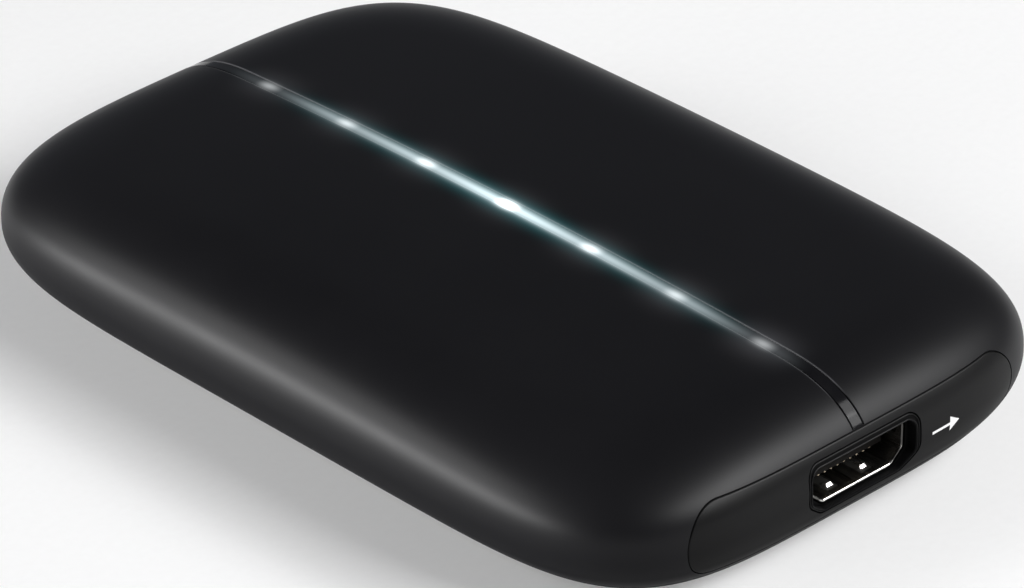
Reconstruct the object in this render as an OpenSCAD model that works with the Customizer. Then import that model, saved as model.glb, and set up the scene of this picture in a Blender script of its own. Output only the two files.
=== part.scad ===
// Pocket video capture box: a pebble-shaped case with a light bar over its top,
// a video output socket in front, and a video input, a USB-C socket and an audio jack behind.
// +Z is up, the front end faces -Y, and the feet stand on z = 0.

/* [Case] */
// Width of the case at its widest line
body_w = 74.5; // [72:0.5:84]
// Length of the case at its widest line
body_l = 112; // [108:1:126]
// Height of the case without its feet
body_h = 18.2; // [17.6:0.1:21]
// Height of the widest line above the underside
waist_h = 8.1; // [7.7:0.1:8.6]
// Height of the parting line above the underside
part_h = 2.6; // [2.3:0.1:2.9]
// Wall of both covers
wall = 1.8; // [1.5:0.1:2]
// Squareness of the plan across the width
plan_w_exp = 4.3; // [3.8:0.1:4.8]
// Squareness of the plan along the length
plan_l_exp = 6.4; // [5.6:0.1:7.2]

/* [Edges] */
// Width of the upper edge's curve on the long sides
top_edge_w = 14; // [12:0.5:15]
// Width of the upper edge's curve on the ends
top_edge_l = 13; // [11:0.5:14]
// Squareness of the upper edge's curve
top_edge_exp = 2.5; // [2.2:0.1:2.7]
// Width of the lower edge's curve on the long sides
low_edge_w = 12; // [10.5:0.5:12.5]
// Width of the lower edge's curve on the ends
low_edge_l = 8.2; // [7.4:0.2:9]
// Fall of the top from its middle to the long sides
crown_w = 0.9; // [0.5:0.1:1.2]
// Fall of the top from its middle to the ends
crown_l = 1.5; // [1:0.1:1.8]
// Height of the lip inside the parting line
lip_h = 1; // [0.7:0.1:1.2]
// Thickness of the lip
lip_t = 1; // [0.8:0.1:1.2]

/* [Light bar] */
// Width of the inlay
bar_w = 1.6; // [1.3:0.1:1.8]
// Thickness of the inlay
bar_t = 0.9; // [0.7:0.1:1]
// Width of the stem under the inlay
stem_w = 0.9; // [0.7:0.1:1.1]
// Number of lights
led_count = 7; // [5:1:7]
// Distance of the outermost lights from the ends of the case
led_end = 16.1; // [15:0.1:18]
// Length and width of a light
led_side = 1.8; // [1.4:0.1:2]
// Height of a light
led_t = 0.7; // [0.5:0.1:0.9]
// Gap from a light to the stem
led_gap = 0.2; // [0.1:0.05:0.4]
// Depth of the lights' tops below the middle of the top
led_depth = 3.3; // [3.1:0.1:3.6]
// Width of the light board
led_board_w = 7; // [6.4:0.2:8]
// Thickness of the light board
led_board_t = 0.8; // [0.6:0.1:1]
// Length of the light board past the outermost lights
led_board_over = 4; // [3:0.5:4.5]
// Thickness of the two rails that carry the light board
rail_t = 1; // [0.8:0.1:1.2]
// Diameter of the pegs through the light board
peg_d = 1.4; // [1.2:0.1:1.6]

/* [End inserts] */
// Length of an insert
bezel_l = 50.8; // [49:0.2:52]
// Height of an insert
bezel_h = 9.2; // [8.8:0.1:9.4]
// Height of an insert's middle above the underside
bezel_h0 = 8.2; // [8.1:0.05:8.4]
// Thickness of an insert
bezel_t = 2; // [1.8:0.1:2.1]
// Seam round an insert
seam = 0.12; // [0.08:0.02:0.18]
// Width of the pocket round a video port
pocket_w = 17.1; // [16.4:0.1:18]
// Height of the pocket round a video port
pocket_h = 7; // [6.6:0.1:7.2]
// Width of the pocket's floor, below its slanted corners
pocket_floor_w = 12; // [11.8:0.1:12.8]
// Height of the pocket's upright sides
pocket_side_h = 5; // [4.6:0.1:5.2]
// Height of the pocket's middle above the port's
pocket_lift = 0.2; // [0:0.05:0.3]
// Distance between an insert's two hooks
hook_gap = 28; // [24:1:32]
// Width of a hook
hook_w = 4; // [3:0.5:5]

/* [Video ports] */
// Depth of a port's rim behind the end of the case
port_recess = 1.5; // [1.3:0.1:1.6]
// Width of the opening
port_w = 14; // [13.8:0.1:14.2]
// Width of the opening's floor
port_floor_w = 10.5; // [10.1:0.1:10.8]
// Height of the opening
port_h = 4.55; // [4.45:0.05:4.65]
// Height of the opening's upright sides
port_side_h = 3.05; // [2.8:0.05:3.2]
// Metal of the sleeve
port_metal = 0.35; // [0.3:0.05:0.4]
// Depth of the sleeve
port_depth = 11.5; // [11:0.1:12]
// Width of the tongue
tongue_w = 11.6; // [11.2:0.1:12]
// Thickness of the tongue
tongue_t = 1.3; // [1.1:0.1:1.4]
// Height of the tongue's middle above the port's
tongue_lift = 0.2; // [0:0.05:0.3]
// Depth of the tongue's tip behind the rim
tongue_set = 1.75; // [1.5:0.05:2]
// Distance from contact to contact in a row
contact_pitch = 1; // [0.95:0.01:1.05]
// Width of a contact
contact_w = 0.35; // [0.3:0.01:0.4]
// Thickness of a contact
contact_t = 0.12; // [0.1:0.01:0.15]
// Distance between the two springs of a pair
spring_gap = 5.3; // [5:0.1:5.6]
// Width of a spring
spring_w = 1.6; // [1.4:0.1:1.8]
// Length of a spring
spring_l = 3.9; // [3.6:0.1:4.2]
// Depth of a spring's tip behind the rim
spring_set = 0.9; // [0.85:0.05:1.1]
// Height of the bump on a spring
bump_h = 0.35; // [0.25:0.05:0.4]

/* [USB-C socket] */
// Distance of the socket from the middle of the rear insert
usb_x = 15; // [14.4:0.1:15.4]
// Width of the sleeve
usb_w = 8.94; // [8.8:0.02:9.1]
// Height of the sleeve
usb_h = 3.26; // [3.16:0.02:3.36]
// Metal of the sleeve
usb_metal = 0.3; // [0.25:0.05:0.35]
// Depth of the sleeve
usb_depth = 9; // [8.6:0.1:9.4]
// Depth of the rim behind the end of the case
usb_recess = 1; // [0.9:0.1:1.2]
// Width of the tongue
usb_tongue_w = 6.7; // [6.5:0.05:6.8]
// Thickness of the tongue
usb_tongue_t = 0.7; // [0.6:0.05:0.8]
// Depth of the tongue's tip behind the rim
usb_tongue_set = 1.4; // [1.2:0.1:1.6]
// Distance from contact to contact
usb_pitch = 0.5; // [0.48:0.01:0.52]
// Width of a contact
usb_contact_w = 0.25; // [0.2:0.01:0.3]

/* [Audio jack] */
// Distance of the jack from the middle of the rear insert
jack_x = 15; // [14.4:0.1:15.6]
// Bore of the ferrule
jack_bore = 3.6; // [3.56:0.02:3.66]
// Outside of the ferrule
ferrule_d = 5; // [4.8:0.1:5.2]
// Length of the ferrule
ferrule_l = 3.4; // [3.1:0.1:3.6]
// Depth of the ferrule's mouth behind the end of the case
ferrule_recess = 0.7; // [0.6:0.1:0.9]
// Width of the jack's body
jack_w = 6.6; // [6.4:0.1:7]
// Height of the jack's body
jack_h = 5.4; // [5.3:0.1:5.7]
// Length of the jack's body
jack_l = 11; // [10.6:0.1:11.4]
// Room round a plug behind the ferrule
jack_room = 0.5; // [0.45:0.05:0.6]
// Length of a contact spring
jack_spring_l = 6.5; // [6:0.1:6.8]
// Thickness of a contact spring
jack_spring_t = 0.25; // [0.2:0.05:0.3]
// Width of a contact spring
jack_spring_w = 1.8; // [1.6:0.1:2]

/* [Main board] */
// Thickness of the board
board_t = 1.6; // [1.4:0.1:1.7]
// Gap from the long walls to the board
board_side_gap = 4.4; // [4.2:0.1:5]
// Distance from the ends of the case to the board
board_end_gap = 5; // [4.9:0.1:5.4]
// Radius of the board's corners
board_r = 14; // [13:0.5:16]
// Side of the capture chip
chip_side = 17; // [15:0.5:19]
// Height of the capture chip
chip_t = 1.4; // [1:0.1:1.6]
// Thickness of the thermal pad
pad_t = 0.5; // [0.3:0.1:0.6]
// Side of the heat sink
sink_side = 26; // [24:0.5:27]
// Gap from the heat sink to the light board
sink_gap = 1.1; // [0.8:0.1:1.5]
// Number of fins
sink_fins = 8; // [6:1:9]
// Thickness of a fin
fin_t = 1; // [0.8:0.1:1.2]
// Thickness of the heat sink's plate
sink_plate = 1.6; // [1.2:0.1:2]
// Height of the smaller chips
small_chip_t = 1; // [0.8:0.1:1.2]
// Side of the video input chip
input_chip_side = 12; // [10:0.5:13]
// Side of the video output chip
output_chip_side = 10; // [9:0.5:12]
// Side of the USB chip
usb_chip_side = 9; // [8:0.5:10]
// Width of a memory chip
memory_w = 9; // [8:0.5:10]
// Length of a memory chip
memory_l = 13; // [11:0.5:14]
// Length of the flash chip
flash_l = 6; // [5:0.5:7]
// Width of the flash chip
flash_w = 5; // [4:0.5:6]
// Side of an inductor
coil_side = 5; // [4:0.5:6]
// Height of an inductor
coil_h = 3; // [2.5:0.1:3.5]
// Length of a capacitor
cap_l = 1.6; // [1:0.1:2]
// Width and height of a capacitor
cap_w = 0.8; // [0.5:0.1:1.2]
// Distance from capacitor to capacitor
cap_step = 2.2; // [1.6:0.1:2.6]
// Length of a crystal
crystal_l = 3.2; // [2.5:0.1:4]
// Width of a crystal
crystal_w = 2.5; // [2:0.1:3.2]
// Height of a crystal
crystal_t = 0.7; // [0.5:0.1:1]
// Gap between neighbouring chips
chip_gap = 3; // [2.5:0.1:3.5]
// Pitch of the pins between the two boards
link_pitch = 2; // [1.8:0.1:2.2]
// Side of a pin between the two boards
link_pin = 0.5; // [0.4:0.05:0.64]

/* [Screws and feet] */
// Distance between the screws across the width
screw_gap_w = 36; // [34:0.5:37]
// Distance of the screws from the ends of the case
screw_end = 20.5; // [19:0.5:22]
// Diameter of a screw
screw_d = 2; // [1.8:0.1:2.2]
// Diameter of a screw's head
head_d = 3.8; // [3.6:0.1:4]
// Height of a screw's head
head_h = 1.3; // [1.1:0.1:1.4]
// Length of a screw under its head
screw_l = 9; // [8:0.5:10]
// Diameter of the bosses
boss_d = 5.4; // [5:0.1:5.8]
// Diameter of a foot
foot_d = 9; // [8:0.2:9.4]
// Height of the feet below the underside
foot_h = 0.8; // [0.6:0.1:1.2]
// Depth of the recess that holds a foot
foot_sink = 0.6; // [0.4:0.1:0.7]

/* [Hidden] */

// Points round the covers, and steps of a small arc
around = 72;
arc_steps = 6;
$fn = 48;

// Clearances: sliding fits, loose holes, and the gap at a spring's root
fit = 0.05;
slack = 0.2;
root_gap = 0.05;
// How far a cut runs past a face, and how far pieces of one solid run into each other
past = 1;
merge = 0.3;

// Case levels and half sizes
half_w = body_w / 2;
half_l = body_l / 2;
under_z = foot_h;
top_z = under_z + body_h;
part_z = under_z + part_h;
rise = body_h - waist_h;
bezel_z = under_z + bezel_h0;
port_z = bezel_z;
front = 0;
rear = 180;

// Board levels
board_top = port_z - port_h / 2 - port_metal;
board_under = board_top - board_t;
board_half_w = half_w - wall - board_side_gap;
board_half_l = half_l - board_end_gap;
led_top = top_z - led_depth;
led_board_top = led_top - led_t;
led_board_under = led_board_top - led_board_t;
led_span = body_l - 2 * led_end;
led_pitch = led_span / (led_count - 1);
sink_h = led_board_under - sink_gap - board_top - chip_t - pad_t;
led_board_l = led_span + 2 * led_board_over;

// Places in a video port, measured from its rim
port_seat = -port_h / 2 - port_metal;
block_front = port_depth - 4;
block_back = port_depth - 1;
spring_root = spring_set + spring_l;
spring_room = 0.8;
plate_t = 0.4;
leg_l = 1.4;
leg_places = [4.6, 9.2];
leg_under = 0.2;

// Places in the USB-C socket and the audio jack
usb_z = board_top + usb_h / 2;
usb_block = usb_depth - 3.4;
jack_z = board_top + jack_h / 2;
jack_front = ferrule_recess + ferrule_l - 1;
jack_spring_x = jack_bore / 2 + jack_room + fit;
jack_spring_front = jack_front + 2.6;

// Screws, feet and the link between the boards
screw_places = [for (x = [-1, 1], y = [-1, 1]) [x * screw_gap_w / 2, y * (half_l - screw_end)]];
head_z = under_z + foot_sink;
head_room = 0.2;
link_y = -(half_l - port_recess - port_depth - 8);
link_count = 4;
link_base_h = 2.2;

// Places of the chips on the board, as shares of its half sizes
chip_y = 0.04 * board_half_l;
side_x = 0.64 * board_half_w;
input_chip_y = 0.58 * board_half_l;
output_chip_y = -0.43 * board_half_l;
usb_chip_y = 0.46 * board_half_l;
flash_y = -0.25 * board_half_l;
coil_y = -0.45 * board_half_l;

function signed_pow(v, e) = sign(v) * pow(abs(v), e);

// Point of the plan outline at an angle
function plan(hw, hl, t) = [
    hw * signed_pow(cos(t), 2 / plan_w_exp),
    hl * signed_pow(sin(t), 2 / plan_l_exp)
];

// Fall of the top at a place
function crown(x, y) = crown_w * pow(x / half_w, 2) + crown_l * pow(y / half_l, 2);

// Rings of the skin set in by g: half width, half length, height over the underside, crown share
function upper_ring(g, t) =
    let (inset = 1 - pow(cos(t), 2 / top_edge_exp), climb = pow(sin(t), 2 / top_edge_exp))
    [
        half_w - g - (top_edge_w - g) * inset,
        half_l - g - (top_edge_l - g) * inset,
        waist_h + (rise - g) * climb,
        climb
    ];
function lower_ring(g, t) =
    let (inset = 1 - cos(t))
    [
        half_w - g - (low_edge_w - g) * inset,
        half_l - g - (low_edge_l - g) * inset,
        waist_h - (waist_h - g) * sin(t),
        0
    ];
function cap_ring(g, share) =
    let (r = upper_ring(g, 90))
    [r[0] * share, r[1] * share, r[2], 1];
function ring_point(r, t) =
    let (p = plan(r[0], r[1], t))
    [p.x, p.y, under_z + r[2] - r[3] * crown(p.x, p.y)];

// Angle at which the lower edge, set in by g, reaches a height over the underside
function lower_angle(g, h) = asin((waist_h - h) / (waist_h - g));

// Height share and inset share of the edge, set in by g, at a height over the underside
function climb_at(g, h) = h > waist_h ? min(1, (h - waist_h) / (rise - g)) : 0;
function inset_at(g, h) = h > waist_h
    ? 1 - pow(1 - pow(climb_at(g, h), top_edge_exp), 1 / top_edge_exp)
    : 1 - cos(lower_angle(g, h));

// Half length of the skin, set in by g, at x and at a height where the crown is left out
function plain_reach(x, h, g) =
    let (
        edge_w = h > waist_h ? top_edge_w : low_edge_w,
        edge_l = h > waist_h ? top_edge_l : low_edge_l,
        k = inset_at(g, h),
        hw = half_w - g - (edge_w - g) * k,
        hl = half_l - g - (edge_l - g) * k
    )
    hl * pow(1 - pow(abs(x) / hw, plan_w_exp), 1 / plan_l_exp);

// The same with the crown: the height is raised by the crown's fall, in a few rounds
function raised(x, h, g, rounds) = rounds == 0 ? h :
    let (r = raised(x, h, g, rounds - 1))
    h + climb_at(g, r) * crown(x, plain_reach(x, r, g));
function reach(x, h, g) = plain_reach(x, raised(x, h, g, 4), g);

// Corner of an outline rounded by an arc, outlines with all corners rounded, and outlines grown
function unit(v) = v / norm(v);
function turn(a) = a > 180 ? a - 360 : a < -180 ? a + 360 : a;
function corner(a, b, c, r) =
    let (
        u = unit(a - b),
        v = unit(c - b),
        half = acos(u * v) / 2,
        o = b + unit(u + v) * r / sin(half),
        p = b + u * r / tan(half) - o,
        q = b + v * r / tan(half) - o,
        start = atan2(p.y, p.x),
        sweep = turn(atan2(q.y, q.x) - start)
    )
    [
        for (i = [0:arc_steps])
            let (t = start + sweep * i / arc_steps)
            o + r * [cos(t), sin(t)]
    ];
function rounded(p, r) =
    let (n = len(p))
    [for (i = [0:n - 1]) each corner(p[(i + n - 1) % n], p[i], p[(i + 1) % n], r)];
function grown(p, g) =
    let (n = len(p))
    [
        for (i = [0:n - 1])
            let (u = unit(p[(i + n - 1) % n] - p[i]), v = unit(p[(i + 1) % n] - p[i]))
            p[i] - unit(u + v) * g / sin(acos(u * v) / 2)
    ];
function box_points(w, h) = [[-w / 2, h / 2], [w / 2, h / 2], [w / 2, -h / 2], [-w / 2, -h / 2]];

// Outline of a video port's opening: wide above, with slanted lower corners
port_points = [
    [-port_w / 2, port_h / 2],
    [port_w / 2, port_h / 2],
    [port_w / 2, port_h / 2 - port_side_h],
    [port_floor_w / 2, -port_h / 2],
    [-port_floor_w / 2, -port_h / 2],
    [-port_w / 2, port_h / 2 - port_side_h]
];
// Outline of the pocket round a port: the same slant, wider and higher
pocket_points = [
    [-pocket_w / 2, pocket_h / 2],
    [pocket_w / 2, pocket_h / 2],
    [pocket_w / 2, pocket_h / 2 - pocket_side_h],
    [pocket_floor_w / 2, -pocket_h / 2],
    [-pocket_floor_w / 2, -pocket_h / 2],
    [-pocket_w / 2, pocket_h / 2 - pocket_side_h]
];

// Outline of the case along its length, set in by g, as [y, height] from the front waist to the rear one
profile_steps = 12;
function side_point(g, t) =
    let (r = upper_ring(g, t))
    [r[1], under_z + r[2] - r[3] * crown_l * pow(r[1] / half_l, 2)];
function top_point(g, y) = [y, under_z + body_h - g - crown_l * pow(y / half_l, 2)];
function profile(g) =
    let (
        side = [for (i = [0:profile_steps]) side_point(g, 90 * i / profile_steps)],
        flat = half_l - top_edge_l
    )
    concat(
        [for (p = side) [-p[0], p[1]]],
        [for (i = [1:profile_steps - 1]) top_point(g, flat * (2 * i / profile_steps - 1))],
        [for (i = [profile_steps:-1:0]) side[i]]
    );

// Solid between rings, from a first pole that faces up to a last pole that faces down
module ring_solid(rings, first_pole, last_pole) {
    count = len(rings);
    points = concat(
        [first_pole],
        [for (r = rings, i = [0:around - 1]) ring_point(r, 360 * i / around)],
        [last_pole]
    );
    function at(k, i) = 1 + k * around + i % around;
    sides = [
        for (k = [0:count - 2], i = [0:around - 1])
            each [[at(k, i), at(k, i + 1), at(k + 1, i + 1)], [at(k, i), at(k + 1, i + 1), at(k + 1, i)]]
    ];
    first_fan = [for (i = [0:around - 1]) [0, at(0, i + 1), at(0, i)]];
    last_fan = [for (i = [0:around - 1]) [count * around + 1, at(count - 1, i), at(count - 1, i + 1)]];
    polyhedron(concat(points), concat(first_fan, sides, last_fan), convexity = 6);
}

// Outline with y across the length and z up, drawn out to a width about x = 0
module lengthwise(points, width) {
    rotate([90, 0, 90])
        linear_extrude(width, center = true)
            polygon(points);
}

// Outline with x across and z up, drawn inwards from one depth to another
module inwards(points, from, to) {
    translate([0, to, 0])
        rotate([90, 0, 0])
            linear_extrude(to - from)
                polygon(points);
}

// Places its children at one end of the case: y = 0 is the end's foremost plane and +y runs inwards
module at_end(end) {
    rotate(end)
        translate([0, -half_l, 0])
            children();
}

// Block under the end's skin, set in by g, down to a depth
slab_cols = 26;
slab_rows = 12;
module end_slab(g, back) {
    span_x = bezel_l / 2 + 0.4;
    low = bezel_h0 - bezel_h / 2 - 0.4;
    high = bezel_h0 + bezel_h / 2 + 0.4;
    skin = [
        for (k = [0:slab_rows], i = [0:slab_cols])
            let (x = span_x * (2 * i / slab_cols - 1), h = low + (high - low) * k / slab_rows)
            [x, half_l - reach(x, h, g), under_z + h]
    ];
    corners = [[-span_x, low], [span_x, low], [span_x, high], [-span_x, high]];
    rear_corners = [for (c = corners) [c[0], back, under_z + c[1]]];
    function at(k, i) = k * (slab_cols + 1) + i;
    base = len(skin);
    front_faces = [
        for (k = [0:slab_rows - 1], i = [0:slab_cols - 1])
            each [[at(k, i), at(k + 1, i), at(k + 1, i + 1)], [at(k, i), at(k + 1, i + 1), at(k, i + 1)]]
    ];
    floor_face = concat([for (i = [0:slab_cols]) at(0, i)], [base + 1, base]);
    roof_face = concat([for (i = [slab_cols:-1:0]) at(slab_rows, i)], [base + 3, base + 2]);
    left_face = concat([for (k = [slab_rows:-1:0]) at(k, 0)], [base, base + 3]);
    right_face = concat([for (k = [0:slab_rows]) at(k, slab_cols)], [base + 2, base + 1]);
    back_face = [base, base + 1, base + 2, base + 3];
    polyhedron(
        concat(skin, rear_corners),
        concat(front_faces, [floor_face, roof_face, left_face, right_face, back_face]),
        convexity = 4
    );
}

// Round-ended prism of an insert's outline, grown by g
module bezel_prism(g, from, to) {
    translate([0, 0, bezel_z])
        inwards(rounded(box_points(bezel_l + 2 * g, bezel_h + 2 * g), bezel_h / 2 + g - 0.01), from, to);
}

// Prism of a port's outline, grown by g, between two depths behind the rim
module port_prism(g, from, to) {
    inwards(rounded(grown(port_points, g), 0.5 + max(0, g)), from, to);
}

// Height of the inside of the top cover over a place, halfway through its wall
function roof_at(x, y) = top_z - crown(x, y) - wall / 2;

// Upper shell of the case, with the seats of the inserts, the light bar and the light board
module top_cover() {
    edge = 8;
    inner_edge = 5;
    low = 3;
    low_outer = lower_angle(0, part_h);
    low_inner = lower_angle(wall, part_h);
    rings = concat(
        [cap_ring(0, 0.4), cap_ring(0, 0.75)],
        [for (i = [edge:-1:0]) upper_ring(0, 90 * i / edge)],
        [for (i = [1:low]) lower_ring(0, low_outer * i / low)],
        [for (i = [low:-1:1]) lower_ring(wall, low_inner * i / low)],
        [for (i = [0:inner_edge]) upper_ring(wall, 90 * i / inner_edge)],
        [cap_ring(wall, 0.5)]
    );
    color([0.09, 0.09, 0.1])
        difference() {
            union() {
                difference() {
                    ring_solid(rings, [0, 0, top_z], [0, 0, top_z - wall]);
                    for (end = [front, rear])
                        at_end(end)
                            bezel_prism(seam, -past, half_l - reach(bezel_l / 2, bezel_h0, wall) + bezel_t);
                }
                for (p = screw_places)
                    translate([p.x, p.y, board_top])
                        cylinder(d = boss_d, h = roof_at(p.x, p.y) - board_top);
                light_rails();
                for (p = peg_places())
                    translate([p.x, p.y, led_board_under - merge])
                        cylinder(d = peg_d, h = roof_at(p.x, p.y) - led_board_under + merge);
                for (end = [front, rear])
                    at_end(end)
                        bezel_stops();
            }
            light_groove();
            for (p = screw_places)
                translate([p.x, p.y, board_top - past])
                    cylinder(d = screw_d + 2 * fit, h = screw_l - (board_top - head_z - head_h) + 2 * past);
        }
}

// Two rails under the roof that carry the light board and keep the light in
function rail_x() = stem_w / 2 + slack + 0.9 + rail_t / 2;
function led_y(i) = (i - (led_count - 1) / 2) * led_pitch;
function peg_places() = [for (x = [-1, 1], y = [-1, 1]) [x * rail_x(), y * (led_span - led_pitch) / 2]];
module light_rails() {
    intersection() {
        lengthwise(profile(wall / 2), led_board_w + 2 * past);
        for (x = [-1, 1])
            translate([x * rail_x() - rail_t / 2, -led_board_l / 2, led_board_top])
                cube([rail_t, led_board_l, body_h]);
    }
}

// Blocks behind an insert's two ends that stop it going in
module bezel_stops() {
    stop_y = half_l - reach(bezel_l / 2 - seam, bezel_h0, bezel_t) + fit;
    stop_h = 3.2;
    for (x = [-1, 1])
        translate([x * (bezel_l / 2 - 1) - 2, stop_y, bezel_z - stop_h / 2])
            cube([4, 1.6, stop_h]);
}

// Groove over the top for the inlay, with the slot for its stem
module light_groove() {
    outer = profile(-past);
    inner = profile(bar_t + fit);
    lengthwise(concat(outer, [for (i = [len(inner) - 1:-1:0]) inner[i]]), bar_w + 2 * fit);
    translate([-stem_w / 2 - fit, -led_board_l / 2 - fit, led_board_top])
        cube([stem_w + 2 * fit, led_board_l + 2 * fit, body_h]);
}

// Lower shell of the case, with the lip inside the parting line
module base_cover() {
    steps = 4;
    low_outer = lower_angle(0, part_h);
    low_inner = lower_angle(wall, part_h);
    rings = concat(
        [for (i = [steps:-1:0]) lower_ring(wall, low_inner + (90 - low_inner) * i / steps)],
        [for (i = [0:steps]) lower_ring(0, low_outer + (90 - low_outer) * i / steps)]
    );
    lip = lower_ring(wall, low_inner);
    lip_out = [for (i = [0:around - 1]) plan(lip[0] - slack, lip[1] - slack, 360 * i / around)];
    lip_set = slack + lip_t;
    lip_in = [for (i = [0:around - 1]) plan(lip[0] - lip_set, lip[1] - lip_set, 360 * i / around)];
    lip_root = part_h - 0.6;
    color([0.08, 0.08, 0.09])
        difference() {
            union() {
                ring_solid(rings, [0, 0, under_z + wall], [0, 0, under_z]);
                translate([0, 0, under_z + lip_root])
                    linear_extrude(part_h + lip_h - lip_root)
                        difference() {
                            polygon(lip_out);
                            polygon(lip_in);
                        }
                for (p = screw_places)
                    translate([p.x, p.y, under_z + wall - merge])
                        cylinder(d = boss_d + 1, h = board_under - under_z - wall + merge);
            }
            for (p = screw_places)
                translate([p.x, p.y, under_z]) {
                    translate([0, 0, -past])
                        cylinder(d = foot_d + 2 * slack, h = foot_sink + past);
                    cylinder(d = head_d + 2 * slack, h = foot_sink + head_room + head_h);
                    cylinder(d = screw_d + 2 * slack, h = body_h);
                }
        }
}

// Insert without its openings: a plate under the skin, and two hooks over the window's upper edge
module bezel_blank() {
    hook_top = bezel_h0 + bezel_h / 2 - seam;
    hook_t = 0.8;
    barb_h = 0.7;
    barb_l = 1;
    hook_x = hook_gap / 2 + hook_w / 2;
    barb_y = half_l - reach(hook_x, hook_top + seam + barb_h, wall) + slack;
    difference() {
        intersection() {
            end_slab(0, bezel_t + 4);
            bezel_prism(-seam, -past, bezel_t + 4 + past);
        }
        end_slab(bezel_t, bezel_t + 5);
    }
    for (x = [-1, 1])
        translate([x * hook_gap / 2 - hook_w / 2, 0, under_z + hook_top - hook_t]) {
            translate([0, bezel_t, 0])
                cube([hook_w, barb_y + barb_l - bezel_t, hook_t - seam]);
            translate([0, barb_y, 0])
                cube([hook_w, barb_l, hook_t + seam + barb_h]);
        }
}

// Pocket and opening of a video port in an insert
module port_pocket() {
    translate([0, 0, port_z + pocket_lift])
        inwards(rounded(pocket_points, 1.6), -past, port_recess - slack);
    translate([0, 0, port_z]) {
        port_prism(port_metal + slack, -past, bezel_t + 2 * past);
        port_prism(port_metal + spring_room, port_recess + plate_t, bezel_t + 2 * past);
    }
}

module front_bezel() {
    color([0.1, 0.1, 0.11])
        at_end(front)
            difference() {
                bezel_blank();
                port_pocket();
            }
}

module rear_bezel() {
    color([0.1, 0.1, 0.11])
        at_end(rear)
            difference() {
                bezel_blank();
                port_pocket();
                translate([usb_x, 0, usb_z])
                    inwards(
                        rounded(box_points(usb_w + 2 * slack, usb_h + 2 * slack), usb_h / 2 + slack - 0.01),
                        -past, bezel_t + 4
                    );
                translate([-jack_x, -past, jack_z])
                    rotate([-90, 0, 0])
                        cylinder(d = ferrule_d + 2 * slack, h = bezel_t + 4);
            }
}

// Smoked inlay flush with the skin, and the stem that takes in the light
module light_bar() {
    outer = profile(0);
    inner = profile(bar_t);
    color([0.75, 0.9, 0.92])
        difference() {
            union() {
                lengthwise(concat(outer, [for (i = [len(inner) - 1:-1:0]) inner[i]]), bar_w);
                intersection() {
                    lengthwise(profile(bar_t / 2), stem_w);
                    translate([-stem_w / 2, -led_board_l / 2, led_top + led_gap])
                        cube([stem_w, led_board_l, body_h]);
                }
            }
            for (end = [front, rear])
                at_end(end)
                    bezel_prism(seam, -past, half_l);
        }
}

module leds() {
    color([0.95, 0.98, 1])
        for (i = [0:led_count - 1])
            translate([-led_side / 2, led_y(i) - led_side / 2, led_board_top])
                cube([led_side, led_side, led_t]);
}

module led_board() {
    color([0.05, 0.2, 0.12])
        difference() {
            translate([-led_board_w / 2, -led_board_l / 2, led_board_under])
                cube([led_board_w, led_board_l, led_board_t]);
            for (p = peg_places())
                translate([p.x, p.y, led_board_under - past])
                    cylinder(d = peg_d + 2 * fit, h = led_board_t + 2 * past);
            link_posts(link_pin + 2 * fit, led_board_under - past, led_board_top + past);
        }
}

// Square posts of the link between the boards
module link_posts(side, from, to) {
    for (i = [0:link_count - 1])
        translate([-side / 2, link_y + (i - (link_count - 1) / 2) * link_pitch - side / 2, from])
            cube([side, side, to - from]);
}

module link_header() {
    base_l = link_count * link_pitch;
    color([0.06, 0.06, 0.06])
        difference() {
            translate([-link_pitch / 2, link_y - base_l / 2, board_top])
                cube([link_pitch, base_l, link_base_h]);
            link_posts(link_pin, board_top - past, board_top + link_base_h + past);
        }
}

module link_pins() {
    color([0.85, 0.7, 0.35])
        link_posts(link_pin, board_top, led_board_top + led_gap);
}

module main_board() {
    color([0.03, 0.16, 0.1])
        difference() {
            translate([0, 0, board_under])
                linear_extrude(board_t)
                    polygon(rounded(box_points(2 * board_half_w, 2 * board_half_l), board_r));
            for (p = screw_places)
                translate([p.x, p.y, board_under - past])
                    cylinder(d = screw_d + 2 * slack, h = board_t + 2 * past);
            for (end = [front, rear])
                at_end(end) {
                    spring_notch();
                    translate([0, port_recess, port_z])
                        port_legs(slack, board_under - port_z - past);
                }
            at_end(rear)
                translate([usb_x, usb_recess, usb_z])
                    usb_legs(slack, board_under - usb_z - past);
        }
}

// Notch in the board's edge, where the lower springs of a port need room
module spring_notch() {
    notch_w = spring_gap + spring_w + 2;
    translate([-notch_w / 2, 0, board_under - past])
        cube([notch_w, port_recess + spring_root, board_t + 2 * past]);
}

// Block that stands on the main board
module on_board(x, y, w, l, h) {
    translate([x - w / 2, y - l / 2, board_top])
        cube([w, l, h]);
}

module capture_chip() {
    color([0.12, 0.12, 0.13])
        on_board(0, chip_y, chip_side, chip_side, chip_t);
}

module thermal_pad() {
    color([0.55, 0.6, 0.66])
        translate([0, 0, chip_t])
            on_board(0, chip_y, chip_side, chip_side, pad_t);
}

module heat_sink() {
    fin_step = (sink_side - fin_t) / (sink_fins - 1);
    color([0.3, 0.31, 0.33])
        translate([0, 0, chip_t + pad_t]) {
            on_board(0, chip_y, sink_side, sink_side, sink_plate);
            for (i = [0:sink_fins - 1])
                on_board(-sink_side / 2 + fin_t / 2 + i * fin_step, chip_y, fin_t, sink_side, sink_h);
        }
}

module video_input_chip() {
    color([0.12, 0.12, 0.13])
        on_board(0, input_chip_y, input_chip_side, input_chip_side, small_chip_t);
}

module video_output_chip() {
    color([0.12, 0.12, 0.13])
        on_board(0, output_chip_y, output_chip_side, output_chip_side, small_chip_t);
}

module usb_chip() {
    color([0.12, 0.12, 0.13])
        on_board(-side_x, usb_chip_y, usb_chip_side, usb_chip_side, small_chip_t);
}

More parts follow.
